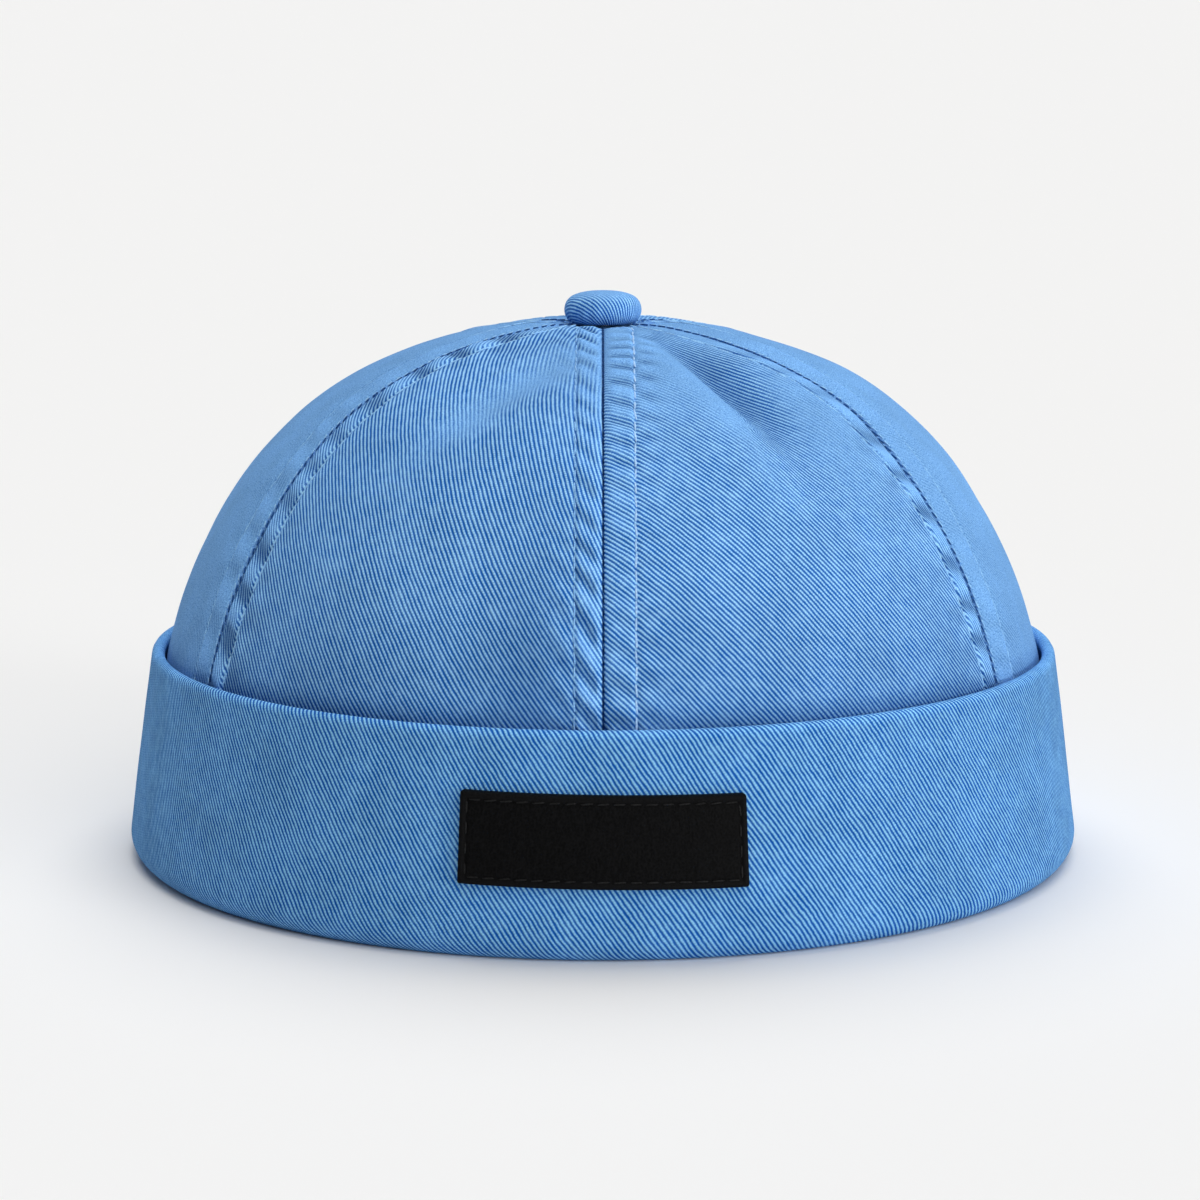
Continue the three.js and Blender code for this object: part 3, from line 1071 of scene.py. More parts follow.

# Sharper folds. A shade above 0 darkens the cloth, as painted shade where the fold has depth; the one at -9
# degrees has no depth and only darkens the cloth low on the left front panel. A shade below 0 rubs the ribs
# and lightens the cloth.
CREASES = (
    Crease(31.5, 0.70, -7.0, 0.245, 0.055, 0.44, 0.55, 0.95),
    Crease(25.0, 0.70, -8.0, 0.260, 0.032, -0.10, 0.00, -0.60),
    Crease(-24.0, 0.670, 25.0, 0.200, 0.045, 0.30, -0.45, -0.40),
    Crease(-31.0, 0.83, 30.0, 0.110, 0.040, 0.16, -0.20, 0.35),
    Crease(-9.0, 0.27, 4.0, 0.300, 0.075, 0.00, 0.00, 0.50),
    Crease(104.0, 0.64, 10.0, 0.190, 0.060, 0.26, 0.30, 0.30),
    Crease(157.0, 0.70, 18.0, 0.200, 0.060, 0.30, -0.40, 0.40),
    Crease(-140.0, 0.72, -20.0, 0.190, 0.055, 0.28, 0.40, 0.40),
)

RUBS = (
    Rub(17.0, 0.77, 25.0, 0.95),
    Rub(50.0, 0.61, 23.0, 0.80),
    Rub(-50.0, 0.86, 12.0, 0.30),
    Rub(100.0, 0.80, 22.0, 0.60),
    Rub(170.0, 0.84, 22.0, 0.60),
    Rub(-95.0, 0.82, 20.0, 0.45),
    Rub(-160.0, 0.80, 20.0, 0.50),
)

# Shares of the crown's radius and of its height
CROWN_PROFILE = (
    (0.992, 0.000),
    (0.998, 0.090),
    (1.000, 0.185),
    (0.997, 0.265),
    (0.988, 0.315),
    (0.956, 0.414),
    (0.912, 0.513),
    (0.855, 0.612),
    (0.780, 0.711),
    (0.676, 0.810),
    (0.566, 0.880),
    (0.439, 0.933),
    (0.333, 0.963),
    (0.236, 0.983),
    (0.122, 0.995),
    (0.000, 1.000),
)


@dataclass(frozen=True)
class Beside:
    """Where places lie beside their nearest seam, in millimetres, and how the band there looks."""

    front: Array
    side: Array
    distance: Array
    row: Array
    along: Array
    phase: Array
    look: BandLook


@dataclass(frozen=True)
class CrownShape:
    """Sizes of the crown and the form of its surface, in millimetres and shares.

    Angles and phases are in radians unless a comment says otherwise. Limits are where something starts and
    where it is full. Those called calm are distances from the axis, so that the sewing fades out towards the
    button. The end of the ripples and the start of the puckers say how far before and after the row of
    stitches they lie.
    """

    radius: float = 94.6
    top: float = 114.5
    base: float = 13.2
    wall: float = 1.3
    panels: int = 6
    profile_steps: int = 120
    seam_sink: float = 0.8
    seam_spread: float = 5.5
    top_dip: float = 1.6
    top_dip_radius: float = 8.5
    calm_radius: float = 22.0
    fold_depth: float = 3.4
    hole_radius: float = 2.2
    # Sharper folds
    crease_calm: Limits = (8.0, 20.0)
    shade_shift: float = 0.8
    shade_spread: float = 1.15
    # Rows of stitches and the raised bands inside them
    row_left: float = 5.6
    row_right: float = 6.4
    side_rows: float = 1.22
    row_limit: float = 0.84
    crease_depth: float = 0.60
    crease_width: float = 0.36
    side_crease: float = 1.5
    band_rise: float = 0.26
    band_start: Limits = (0.6, 1.8)
    band_end: float = 0.8
    stitch_depth: float = 0.24
    stitch_spread: float = 0.5
    # Ripples of the bands and puckers beside them
    seam_phase: float = 2.4
    side_phase: float = 0.9
    ripple_depth: float = 0.34
    ripple_start: Limits = (0.4, 2.2)
    ripple_end: Limits = (0.5, 0.6)
    ripple_top: Limits = (0.78, 0.90)
    ripple_sways: tuple[Sway, ...] = (Sway(0.9, 13.0, 1.0), Sway(0.8, 5.3, 1.7))
    mean_strength: float = 0.65
    strength_sway: Sway = Sway(0.35, 21.0, 2.0)
    pucker_depth: float = 0.20
    pucker_lag: float = 2.2
    pucker_place: float = 2.6
    pucker_spread: float = 2.3
    pucker_start: Limits = (0.3, 1.2)
    sewing_calm: Limits = (6.0, 15.0)
    side_calm: Limits = (14.0, 36.0)
    # Slow waves of the whole cloth, and the seat of the button
    drift_depth: float = 0.22
    drift_along: float = 9.0
    drift_side: float = 14.0
    drift_turns: float = 7.0
    drift_climb: float = 23.0
    drift_calm: Limits = (15.0, 40.0)
    seat_dip: float = 0.55
    seat_radius: float = 7.5
    seat_spread: float = 4.0
    # Wear, and painted shade: low on the crown just above the cuff's rim and fading upwards, in the creases
    # and beside the rows
    edge_wear: float = 0.7
    edge_place: float = 0.75
    edge_spread: float = 0.38
    band_wear: float = 0.3
    full_wear: float = 0.27
    rim_painted_shade: float = 0.60
    rim_heights: Limits = (44.0, 49.0)
    low_painted_shade: float = 0.40
    low_heights: Limits = (46.0, 76.0)
    side_opening: float = 0.55
    side_angles: Limits = (0.9, 1.1)
    line_spread: float = 0.30
    line_calm: Limits = (5.0, 9.0)
    side_line: float = 0.58
    # Ribs rubbed smooth on the side and back panels, with angles in degrees from the front
    rubbed_from: float = 60.0
    back_rub: float = 0.50
    side_rub: float = 0.38
    side_rub_angles: Limits = (78.0, 118.0)
    crease_rub: float = 1.6
    table: Array = field(init=False, repr=False)
    climb_lengths: Array = field(init=False, repr=False)

    def __post_init__(self) -> None:
        """Works out the side profile."""
        rise = self.top - self.base
        places = [(reach * self.radius, self.base + climb * rise) for reach, climb in CROWN_PROFILE]
        line = spline(places, self.profile_steps)
        object.__setattr__(self, "table", line)
        object.__setattr__(self, "climb_lengths", lengths_along(line))

    @property
    def meridian(self) -> float:
        """Length of the side profile from the base to the top."""
        return float(self.climb_lengths[-1])

    @property
    def end_climb(self) -> float:
        """Share of the way up at which the panels end."""
        return 1.0 - self.hole_radius / self.meridian

    @property
    def turn(self) -> float:
        """Angle from one seam to the next."""
        return math.tau / self.panels

    def profile(self, climb: Array) -> tuple[Array, Array, Array, Array]:
        """The side profile at shares of its length.

        Args:
            climb: shares of the way up.

        Returns:
            Radius and height, and the radial and upward parts of the outward direction.
        """
        along = np.asarray(climb) * self.meridian
        reach = np.interp(along, self.climb_lengths, self.table[:, 0])
        height = np.interp(along, self.climb_lengths, self.table[:, 1])
        slope = np.gradient(self.table, self.climb_lengths, axis=0)
        out_reach = np.interp(along, self.climb_lengths, slope[:, 1])
        out_height = np.interp(along, self.climb_lengths, -slope[:, 0])
        size = np.hypot(out_reach, out_height)
        return reach, height, out_reach / size, out_height / size

    def broad_sink(self, azimuth: Array, climb: Array, radius: Array) -> Array:
        """Depth of the seams, the soft folds and the dip at the top, as in the solids.

        Args:
            azimuth: angles round the cap.
            climb: shares of the way up.
            radius: radius of the profile at each place.

        Returns:
            How far the surface lies inside the smooth profile.
        """
        apart = azimuth / self.turn - np.round(azimuth / self.turn)
        sink = self.seam_sink * mound(np.abs(apart) * self.turn * radius, self.seam_spread)
        for fold in FOLDS:
            along, across = fold.distances(azimuth, climb, radius, self.meridian)
            reach = mound(along, fold.length * self.radius) * mound(across, fold.width * self.radius)
            sink = sink + fold.depth * self.fold_depth * reach
        calm = np.minimum(1.0, radius / self.calm_radius)
        return sink * calm + self.top_dip * mound(radius, self.top_dip_radius)

    def creases(self, azimuth: Array, climb: Array, radius: Array) -> tuple[Array, Array]:
        """Depth and shade of the sharper folds.

        Args:
            azimuth: angles round the cap.
            climb: shares of the way up.
            radius: radius of the profile at each place.

        Returns:
            The depth, and the shade: painted shade above 0, and rubbed cloth below 0, lighter partly as
                painted light.
        """
        depth, shade = np.zeros(np.shape(azimuth)), np.zeros(np.shape(azimuth))
        for crease in CREASES:
            along, across = crease.distances(azimuth, climb, radius, self.meridian)
            wide = crease.width * self.radius
            spread = wide * np.where(across < 0, 1.0 - crease.drop, 1.0 + crease.drop)
            end = mound(along, crease.length * self.radius)
            depth = depth + crease.depth * self.fold_depth * mound(across, spread) * end
            shift = self.shade_shift * max(crease.drop, 0.0) * wide
            shade = shade + crease.shade * mound(across - shift, self.shade_spread * wide) * end
        return depth * step(radius, *self.crease_calm), shade

    def band_look(self, seam: Array, side: Array) -> BandLook:
        """Looks up the sewn band of each place.

        Args:
            seam: numbers of the nearest seams, 0 at the front and growing towards +X.
            side: distances from the seam, negative on its left as seen from outside.

        Returns:
            A look whose values are arrays, one value for each place.
        """
        right = side > 0
        band = np.select(
            [seam == 0, seam == 1, seam == self.panels - 1],
            [
                np.where(right, Band.FRONT_RIGHT.value, Band.FRONT_LEFT.value),
                np.where(right, Band.RIGHT_OUTER.value, Band.RIGHT_INNER.value),
                np.where(right, Band.LEFT_INNER.value, Band.LEFT_OUTER.value),
            ],
            Band.BACK.value,
        )
        table = np.array([astuple(BAND_LOOKS[kind]) for kind in Band])
        return BandLook(*np.moveaxis(table[band], -1, 0))

    def row_distance(self, seam: Array | int, usual: Array | float, half: Array) -> Array:
        """Distance of a row of stitches from its seam.

        Args:
            seam: numbers of the seams.
            usual: distance beside the front seam.
            half: half widths of the panels.

        Returns:
            The distance, kept inside the panel where it is narrow.
        """
        wider = np.where(np.asarray(seam) == 0, 1.0, self.side_rows)
        return np.minimum(usual * wider, self.row_limit * half)

    def beside(self, azimuth: Array, climb: Array, radius: Array) -> Beside:
        """Finds the nearest seam of each place.

        Args:
            azimuth: angles round the cap.
            climb: shares of the way up.
            radius: radius of the profile at each place.

        Returns:
            Where each place lies beside its seam.
        """
        number = np.round(azimuth / self.turn)
        side = (azimuth - number * self.turn) * radius
        seam = np.mod(number, self.panels)
        usual = np.where(side > 0, self.row_right, self.row_left)
        return Beside(
            front=seam == 0,
            side=side,
            distance=np.abs(side),
            row=self.row_distance(seam, usual, self.turn / 2 * radius),
            along=climb * self.meridian,
            phase=seam * self.seam_phase + np.where(side > 0, self.side_phase, 0.0),
            look=self.band_look(seam, side),
        )

    def ripples(self, place: Beside, climb: Array) -> tuple[Array, Array, Array]:
        """Ripples of the sewn bands and puckers beside them.

        Args:
            place: where the places lie beside their seams.
            climb: shares of the way up.

        Returns:
            The depth of the ripples and of the puckers, and the share of the rippled band at each place.
        """
        distance, row, look = place.distance, place.row, place.look
        wave = math.tau * (place.along + look.tilt * place.side) / look.pitch + place.phase
        for sway in self.ripple_sways:
            wave = wave + sway.at(place.along, place.phase)
        strong = (self.mean_strength + self.strength_sway.at(place.along, place.phase)) * look.ripple
        strong = strong * (1.0 - look.top_fading * step(climb, *self.ripple_top))
        before, after = self.ripple_end
        within = step(distance, *self.ripple_start) * (1.0 - step(distance, row - before, row + after))
        before, after = self.pucker_start
        beyond = mound(distance - row - self.pucker_place, self.pucker_spread)
        beyond = beyond * step(distance, row - before, row + after) * look.pucker
        ripple = self.ripple_depth * np.cos(wave) * strong
        pucker = self.pucker_depth * np.cos(wave + self.pucker_lag) * strong
        return ripple * within, pucker * beyond, within

    def fine_sink(self, azimuth: Array, climb: Array, radius: Array) -> tuple[Array, Array, Array]:
        """Relief of the sewing: the crease, the stitched bands with their ripples, and puckers beside them.

        Args:
            azimuth: angles round the cap.
            climb: shares of the way up.
            radius: radius of the profile at each place.

        Returns:
            The depth, the wear from -1, darkest painted shade, to 1, worn, and the painted shade of the
            crease and beside the rows, from 0 to 1.
        """
        place = self.beside(azimuth, climb, radius)
        side, distance, row, along = place.side, place.distance, place.row, place.along
        ripple, pucker, within = self.ripples(place, climb)
        wider = np.where(place.front, 1.0, self.side_crease)
        crease = self.crease_depth * mound(distance, self.crease_width * wider)
        inside = step(distance, *self.band_start) * (1.0 - step(distance, row - self.band_end, row))
        groove = self.stitch_depth * mound(distance - row, self.stitch_spread)
        raised = self.band_rise * inside - ripple - pucker - groove
        drift = self.drift_depth * np.sin(along / self.drift_along + side / self.drift_side + place.phase)
        drift = drift * np.sin(azimuth * self.drift_turns + along / self.drift_climb)
        calm = step(radius, *self.sewing_calm)
        quiet = np.where(place.front, 1.0, step(radius, *self.side_calm))
        fold, shade = self.creases(azimuth, climb, radius)
        depth = (crease - raised * quiet) * calm + drift * step(radius, *self.drift_calm) + fold
        depth = depth + self.seat_dip * mound(radius - self.seat_radius, self.seat_spread)
        # Lighter on the folded edge and the raised band, lighter on ripple crests and darker in their
        # troughs, partly wash wear and partly painted light and shade; gloom darkens some bands
        edge = self.edge_wear * mound(side + self.edge_place, self.edge_spread) * calm
        high = self.band_rise * inside * self.band_wear - ripple - pucker
        high = high / self.full_wear - place.look.gloom * within
        # Below 0 this is painted shade: in ripple troughs, in the sharper folds and low on the crown
        wear = np.clip(high * calm * quiet + edge - shade - self.painted_shade_below(azimuth, climb), -1.0, 1.0)
        # Painted shade in the crease and as a dark line beside each row of stitches
        fainter = np.where(place.front, 1.0, self.side_line)
        near = mound(distance, self.line_spread * wider) * step(radius, *self.line_calm) * fainter
        line = mound(distance - row + place.look.line_shift, place.look.line_width)
        return depth, wear, np.maximum(near, place.look.line * line * calm)

    def painted_shade_below(self, azimuth: Array, climb: Array) -> Array:
        """Painted shade on the low crown, darkest just above the cuff's rim and fading upwards, less at the
        sides and the back.

        Args:
            azimuth: angles round the cap.
            climb: shares of the way up.

        Returns:
            The painted shade, from 0 to 1.
        """
        height = self.profile(climb)[1]
        rim = self.rim_painted_shade * (1.0 - step(height, *self.rim_heights))
        low = self.low_painted_shade * (1.0 - step(height, *self.low_heights))
        off = np.abs(swing_from(0.0, azimuth))
        return (rim + low) * (1.0 - self.side_opening * step(off, *self.side_angles))

    def rubbed(self, azimuth: Array, climb: Array, radius: Array) -> Array:
        """How smooth washing has rubbed the ribs.

        Args:
            azimuth: angles round the cap.
            climb: shares of the way up.
            radius: radius of the profile at each place.

        Returns:
            The smoothness, from 0 to 1.
        """
        share = np.zeros(np.shape(azimuth))
        for rub in RUBS:
            side = swing_from(rub.azimuth, azimuth) * radius
            rise = (climb - rub.climb) * self.meridian
            share = np.maximum(share, rub.strength * mound(np.hypot(side, rise), rub.size))
        off = np.degrees(np.abs(swing_from(0.0, azimuth)))
        outer = self.back_rub + self.side_rub * (1.0 - step(off, *self.side_rub_angles))
        share = np.maximum(share, np.where(off > self.rubbed_from, outer, 0.0))
        shade = self.creases(azimuth, climb, radius)[1]
        return np.clip(share - shade * np.where(shade > 0, 1.0, self.crease_rub), 0.0, 1.0)

    def place(self, azimuth: Array, climb: Array, inside: float = 0.0) -> Array:
        """Points of the finished surface, or at a depth inside it.

        Args:
            azimuth: angles round the cap.
            climb: shares of the way up.
            inside: depth below the surface.

        Returns:
            The points.
        """
        reach, height, out_reach, out_height = self.profile(climb)
        inset = inside + self.broad_sink(azimuth, climb, reach) + self.fine_sink(azimuth, climb, reach)[0]
        return around(reach - out_reach * inset, azimuth, height - out_height * inset)

    def outward(self, azimuth: Array, climb: Array) -> Array:
        """Outward directions of the smooth crown."""
        _, _, out_reach, out_height = self.profile(climb)
        return around(out_reach, azimuth, out_height)

    def flat_place(self, turn: Array, climb: Array) -> Array:
        """Place on the flat cut panel: distance from its middle line, and distance up along that line.

        Args:
            turn: angles from the panel's middle.
            climb: shares of the way up.

        Returns:
            Two columns, in millimetres.
        """
        every, shares_of_work = 6, 8
        reach, height, _, _ = self.profile(climb)
        point = np.stack([reach * np.cos(turn), height], -1).reshape(-1, 2)
        off = (reach * np.sin(turn)).ravel()
        known = self.table[::every]
        arc_length = self.climb_lengths[::every]
        slope = np.gradient(known, arc_length, axis=0)
        slope /= np.linalg.norm(slope, axis=1)[:, None]
        nearest = np.concatenate([
            ((part[:, None, :] - known[None]) ** 2).sum(-1).argmin(1)
            for part in np.array_split(point, shares_of_work)
        ])
        gap = point - known[nearest]
        up = arc_length[nearest] + (gap * slope[nearest]).sum(-1)
        inward = np.abs(gap[:, 0] * slope[nearest, 1] - gap[:, 1] * slope[nearest, 0])
        bend = (off**2 + inward**2) / (2.0 * np.maximum(inward, 1e-4))
        across = np.sign(off) * bend * np.arcsin(np.minimum(1.0, np.abs(off) / bend))
        return np.stack([np.where(inward > 1e-3, across, off), up], -1)


PANEL_NAMES = ("right_front", "right", "right_back", "left_back", "left", "left_front")

# How strongly the ribs of each panel curve, as one over their radius in mm
RIB_BENDS = (0.0012, 0.0020, 0.0030, 0.0018, 0.0035, 0.0042)


@dataclass(frozen=True)
class SeamRow:
    """A row of stitches along seams.

    The offset is its distance from the crease in millimetres, negative on the left. A turned row changes
    sides on the right seams, so that it faces the front there too.
    """

    name: str
    seams: range
    offset: float
    lift: float
    stitches: Stitches
    turned: bool = False


@dataclass
class Crown:
    """Six sewn panels with their rows of stitches, in millimetres."""

    shape: CrownShape = field(default_factory=CrownShape)
    rows: int = 210
    seam_gap: float = 0.05
    near_seam: tuple[float, ...] = (
        0.0, 0.15, 0.32, 0.55, 0.85, 1.3, 1.9, 2.6, 3.3, 4.0, 4.6,
        5.0, 5.3, 5.6, 5.9, 6.2, 6.5, 6.8, 7.2, 7.6, 8.0, 8.6,
    )
    near_share: float = 0.62
    middle_columns: int = 14
    crowding: float = 1.35
    wear_rub: float = 0.35
    rub_cut_in_shade: float = 0.5
    cloth_step: tuple[float, float] = (37.3, 11.9)
    bend_centre: tuple[float, float] = (30.0, 72.0)
    line_steps: int = 420
    line_start: float = 0.12
    line_stop_radius: float = 8.0

    def column_shares(self, half: Array) -> Array:
        """Distances of the columns from the seam, for each half width, crowded near the seam.

        Args:
            half: half widths of the panel, one for each row.

        Returns:
            One row of distances for each half width, from the seam to the panel's middle.
        """
        near = np.array(self.near_seam)
        reach = np.minimum(near[-1], self.near_share * half)[:, None]
        fixed = near[None] / near[-1] * reach
        share = (np.arange(1, self.middle_columns + 1) / self.middle_columns) ** self.crowding
        return np.hstack([fixed, reach + (half[:, None] - reach) * share[None]])

    def panel(self, index: int, finish: bpy.types.Material) -> bpy.types.Object:
        """Makes one panel as a closed thin body.

        Args:
            index: the panel's number from 0, going round from the front towards +X.
            finish: the cloth.

        Returns:
            The panel.
        """
        shape = self.shape
        climb = np.linspace(0.0, shape.end_climb, self.rows + 1)
        reach = shape.profile(climb)[0]
        half = math.pi / shape.panels * reach
        from_seam = self.column_shares(half)
        side = np.hstack([from_seam - half[:, None], (half[:, None] - from_seam)[:, ::-1][:, 1:]])
        turn = side / reach[:, None] * (1.0 - self.seam_gap / 2 / half[:, None])
        azimuth = (index + 0.5) * math.tau / shape.panels + turn
        climbs = np.repeat(climb[:, None], turn.shape[1], axis=1)
        outer = shape.place(azimuth, climbs)
        inner = shape.place(azimuth, climbs, shape.wall)
        points, faces = shell(outer, inner)
        weave = self.bent(shape.flat_place(turn, climbs), RIB_BENDS[index])
        weave = np.tile(weave, (2, 1)) + index * np.array([self.cloth_step])
        radius = shape.profile(climbs)[0]
        _, wear, seam = shape.fine_sink(azimuth, climbs, radius)
        rub = shape.rubbed(azimuth, climbs, radius) + self.wear_rub * np.maximum(wear, 0.0)
        rub = np.clip(rub - self.rub_cut_in_shade * np.maximum(-wear, 0.0), 0.0, 1.0)
        # The wear value carries wear with painted light and shade, and the seam value painted shade in the
        # crease and beside the rows
        marks = {name: np.tile(mark.ravel(), 2) for name, mark in ((WEAR_AND_PAINTED_SHADING, wear), (SEAM, seam), (RUB, rub))}
        piece = mesh_object(f"panel_{PANEL_NAMES[index]}", points, faces, weave, marks)
        piece.data.materials.append(finish)
        return dress(piece, "crown_cloth", f"crown_panel_{index + 1}")

    def bent(self, flat: Array, bend: float) -> Array:
        """Curves the straight ribs of the flat cloth, as they look where a panel is stretched over the head.

        Args:
            flat: places on the flat cloth.
            bend: one over the radius of the curved ribs.

        Returns:
            The places to look up in the straight twill.
        """
        angle = math.radians(ClothFinish.rib_angle)
        turned = np.array([[math.cos(angle), -math.sin(angle)], [math.sin(angle), math.cos(angle)]])
        side, along = ((flat - np.array(self.bend_centre)) @ turned).T
        reach = np.hypot(1.0 / bend - side, along)
        curved = np.stack([1.0 / bend - reach, np.arctan2(along, 1.0 / bend - side) / bend], -1)
        return curved @ turned.T

    def cut_size(self) -> tuple[tuple[float, float], float]:
        """Flat size of one cut panel.

        Returns:
            Its width and length, and its area, in metres.
        """
        samples = 400
        shape = self.shape
        width = shape.turn * shape.profile(np.linspace(0.0, shape.end_climb, samples))[0]
        length = shape.meridian * shape.end_climb
        area = float(width.mean() * length)
        return (float(width.max()) * METRES, length * METRES), area * METRES**2

    def seam_line(self, seam: int, offset: float, lift: float) -> tuple[Array, Array]:
        """A line along a seam on the finished surface.

        Args:
            seam: the seam's number, 0 at the front.
            offset: distance from the crease, negative on its left.
            lift: height above the cloth.

        Returns:
            The line's points and outward directions.
        """
        shape = self.shape
        climb = np.linspace(self.line_start, shape.end_climb, self.line_steps)
        reach = shape.profile(climb)[0]
        climb, reach = climb[reach > self.line_stop_radius], reach[reach > self.line_stop_radius]
        half = math.pi / shape.panels * reach
        bounded = np.sign(offset) * shape.row_distance(seam, abs(offset), half)
        azimuth = seam * math.tau / shape.panels + bounded / reach
        outward = shape.outward(azimuth, climb)
        return shape.place(azimuth, climb) + outward * lift, outward

    def seam_rows(self) -> tuple[SeamRow, ...]:
        """The rows of topstitching and the stitches in the creases.

        Returns:
            The rows, those of the front seam first.
        """
        front, others = range(1), range(1, self.shape.panels)
        left, right = -self.shape.row_left, self.shape.row_right
        dark = Stitches(Thread.SEAM, 2.1, 1.70, 0.48, 0.34)
        light = Stitches(Thread.EDGE, 2.0, 1.55, 0.36, 0.34)
        return (
            SeamRow("front_row_left", front, left, 0.03, Stitches(Thread.BLUE, 3.2, 2.95, 0.36, 0.05)),
            SeamRow("front_row_right", front, right, 0.03, Stitches(Thread.PALE, 3.2, 2.95, 0.48, 0.04)),
            SeamRow("side_rows_left", others, left, 0.05, Stitches(Thread.EDGE, 3.4, 3.20, 0.46, 0.04)),
            SeamRow("side_rows_right", others, right, 0.06, Stitches(Thread.EDGE, 3.4, 3.30, 0.56, 0.03)),
            SeamRow("front_crease", front, 0.0, 0.0, Stitches(Thread.SEAM, 2.5, 2.1, 0.36, 0.30)),
            SeamRow("side_creases_dark", others, 0.08, 0.62, dark, turned=True),
            SeamRow("side_creases_light", others, -0.50, 0.26, light, turned=True),
        )

    def sew(self, row: SeamRow, group: bpy.types.GeometryNodeTree, finishes: Finishes) -> None:
        """Sews one row along each of its seams.

        Args:
            row: the row.
            group: the stitch group.
            finishes: the materials.
        """
        made = []
        for seam in row.seams:
            mirrored = row.turned and 0 < seam < self.shape.panels / 2
            made.append(self.seam_line(seam, -row.offset if mirrored else row.offset, row.lift))
        helper = line_object(row.name + "_line", [line for line, _ in made], [out for _, out in made])
        dress(grow(row.name, helper, group, row.stitches.values(finishes)), "crown_cloth")

    def build(self, group: bpy.types.GeometryNodeTree, finishes: Finishes) -> None:
        """Makes the panels and sews them.

        Args:
            group: the stitch group.
            finishes: the materials.
        """
        flat, area = self.cut_size()
        for index in range(self.shape.panels):
            panel = self.panel(index, finishes.crown)
        for row in self.seam_rows():
            self.sew(row, group, finishes)


# Cuff


def arc(centre: tuple[float, float], radius: float, start: float, stop: float, steps: int) -> Array:
    """Points of an arc.

    Args:
        centre: its centre.
        radius: its radius.
        start: angle of the first point.
        stop: angle of the last point.
        steps: how many points.

    Returns:
        The points, one row each.
    """
    angle = np.linspace(start, stop, steps)
    return np.stack([centre[0] + radius * np.cos(angle), centre[1] + radius * np.sin(angle)], -1)


@dataclass
class Cuff:
    """Band that hangs from the crown, rolls outwards and stands up round it, in millimetres."""

    crown: CrownShape = field(default_factory=CrownShape)
    height: float = 44.5
    wall: float = 2.2
    lip_thickness: float = 2.8
    hem_height: float = 6.4
    roll_radius: float = 5.2
    roll_flat: float = 3.6
    rim_gap: float = 0.6
    seat_gap: float = 0.3
    bevel: float = 0.5
    arc_steps: int = 24
    inner_steps: int = 36
    segments: int = 360
    section_steps: int = 190

    def crown_radius(self, height: float) -> float:
        """Radius of the crown's smooth outer face at a height."""
        table = self.crown.table
        return float(np.interp(height, table[:, 1], table[:, 0]))

    @property
    def band_radius(self) -> float:
        """Radius of the middle of the hanging band."""
        return self.crown_radius(self.crown.base) - self.crown.wall / 2

    @property
    def roll_centre(self) -> tuple[float, float]:
        """Radius and height of the roll's centre."""
        reach = self.band_radius + self.roll_radius - self.wall / 2
        return reach, math.sqrt(self.roll_radius**2 - (self.roll_flat / 2) ** 2)

    @property
    def lip_centre(self) -> tuple[float, float]:
        """Radius and height of the lip's centre."""
        height = self.height - self.lip_thickness / 2
        return self.crown_radius(height) + self.rim_gap + self.lip_thickness / 2, height

    @property
    def lean(self) -> float:
        """Lean of the standing band.

        Returns:
            Its angle from the vertical.
        """
        reach, low = self.roll_centre
        lip_reach, high = self.lip_centre
        return math.atan2(reach + self.roll_radius - lip_reach - self.lip_thickness / 2, high - low)

    def face_radius(self, height: Array | float) -> Array | float:
        """Radius of the standing band's outer face.

        Args:
            height: heights above the floor.

        Returns:
            The radius at each height.
        """
        reach, low = self.roll_centre
        foot = reach + self.roll_radius * math.cos(self.lean)
        foot_height = low + self.roll_radius * math.sin(self.lean)
        return foot - (height - foot_height) * math.tan(self.lean)

    def section(self) -> Array:
        """Closed outline of the band's section.

        Returns:
            Radius and height of each point, from the inner foot outwards and up.
        """
        roll, lip, lean = self.roll_centre, self.lip_centre, self.lean
        turn = math.acos(self.roll_flat / 2 / self.roll_radius)
        hem = self.height - self.hem_height
        outer, inner = self.band_radius + self.wall / 2, self.band_radius - self.wall / 2
        top, bevel = self.crown.base - self.seat_gap, self.bevel
        return np.vstack([
            arc(roll, self.roll_radius, -math.pi, -math.pi + turn, self.arc_steps),
            arc(roll, self.roll_radius, -turn, lean, self.arc_steps),
            arc(lip, self.lip_thickness / 2, lean, math.pi + lean, self.arc_steps),
            [[self.face_radius(hem) - self.wall, hem]],
            arc(roll, self.roll_radius - self.wall, lean, -math.pi, self.inner_steps),
            [[outer, top - bevel], [outer - bevel, top], [inner + bevel, top], [inner, top - bevel]],
        ])

    def build(self, group: bpy.types.GeometryNodeTree, finishes: Finishes) -> None:
        """Makes the band by Geometry Nodes from its section.

        Args:
            group: the band group.
            finishes: the materials.
        """
        outline = self.section()
        points = np.stack([outline[:, 0], np.zeros(len(outline)), outline[:, 1]], -1)
        length = float(lengths_along(np.vstack([outline, outline[:1]]))[-1])
        helper = line_object("cuff_section", [points], [], closed=True)
        piece = grow("rolled_cuff", helper, group, {
            "Segments": self.segments,
            "Section Steps": self.section_steps,
            "Cloth Radius": self.roll_centre[0],
            "Cloth Length": length,
            "Cloth": finishes.cuff,
        })
        dress(piece, "cuff_cloth", "cuff")
        flat = (math.tau * self.roll_centre[0] * METRES, length / 2 * METRES)


# Button and tack


# Shares of the button's radius and of its height
BUTTON_PROFILE = (
    (0.66, -0.02),
    (0.79, -0.06),
    (0.91, 0.02),
    (0.99, 0.20),
    (1.01, 0.42),
    (0.95, 0.66),
    (0.78, 0.85),
    (0.45, 0.97),
    (0.00, 1.00),
)


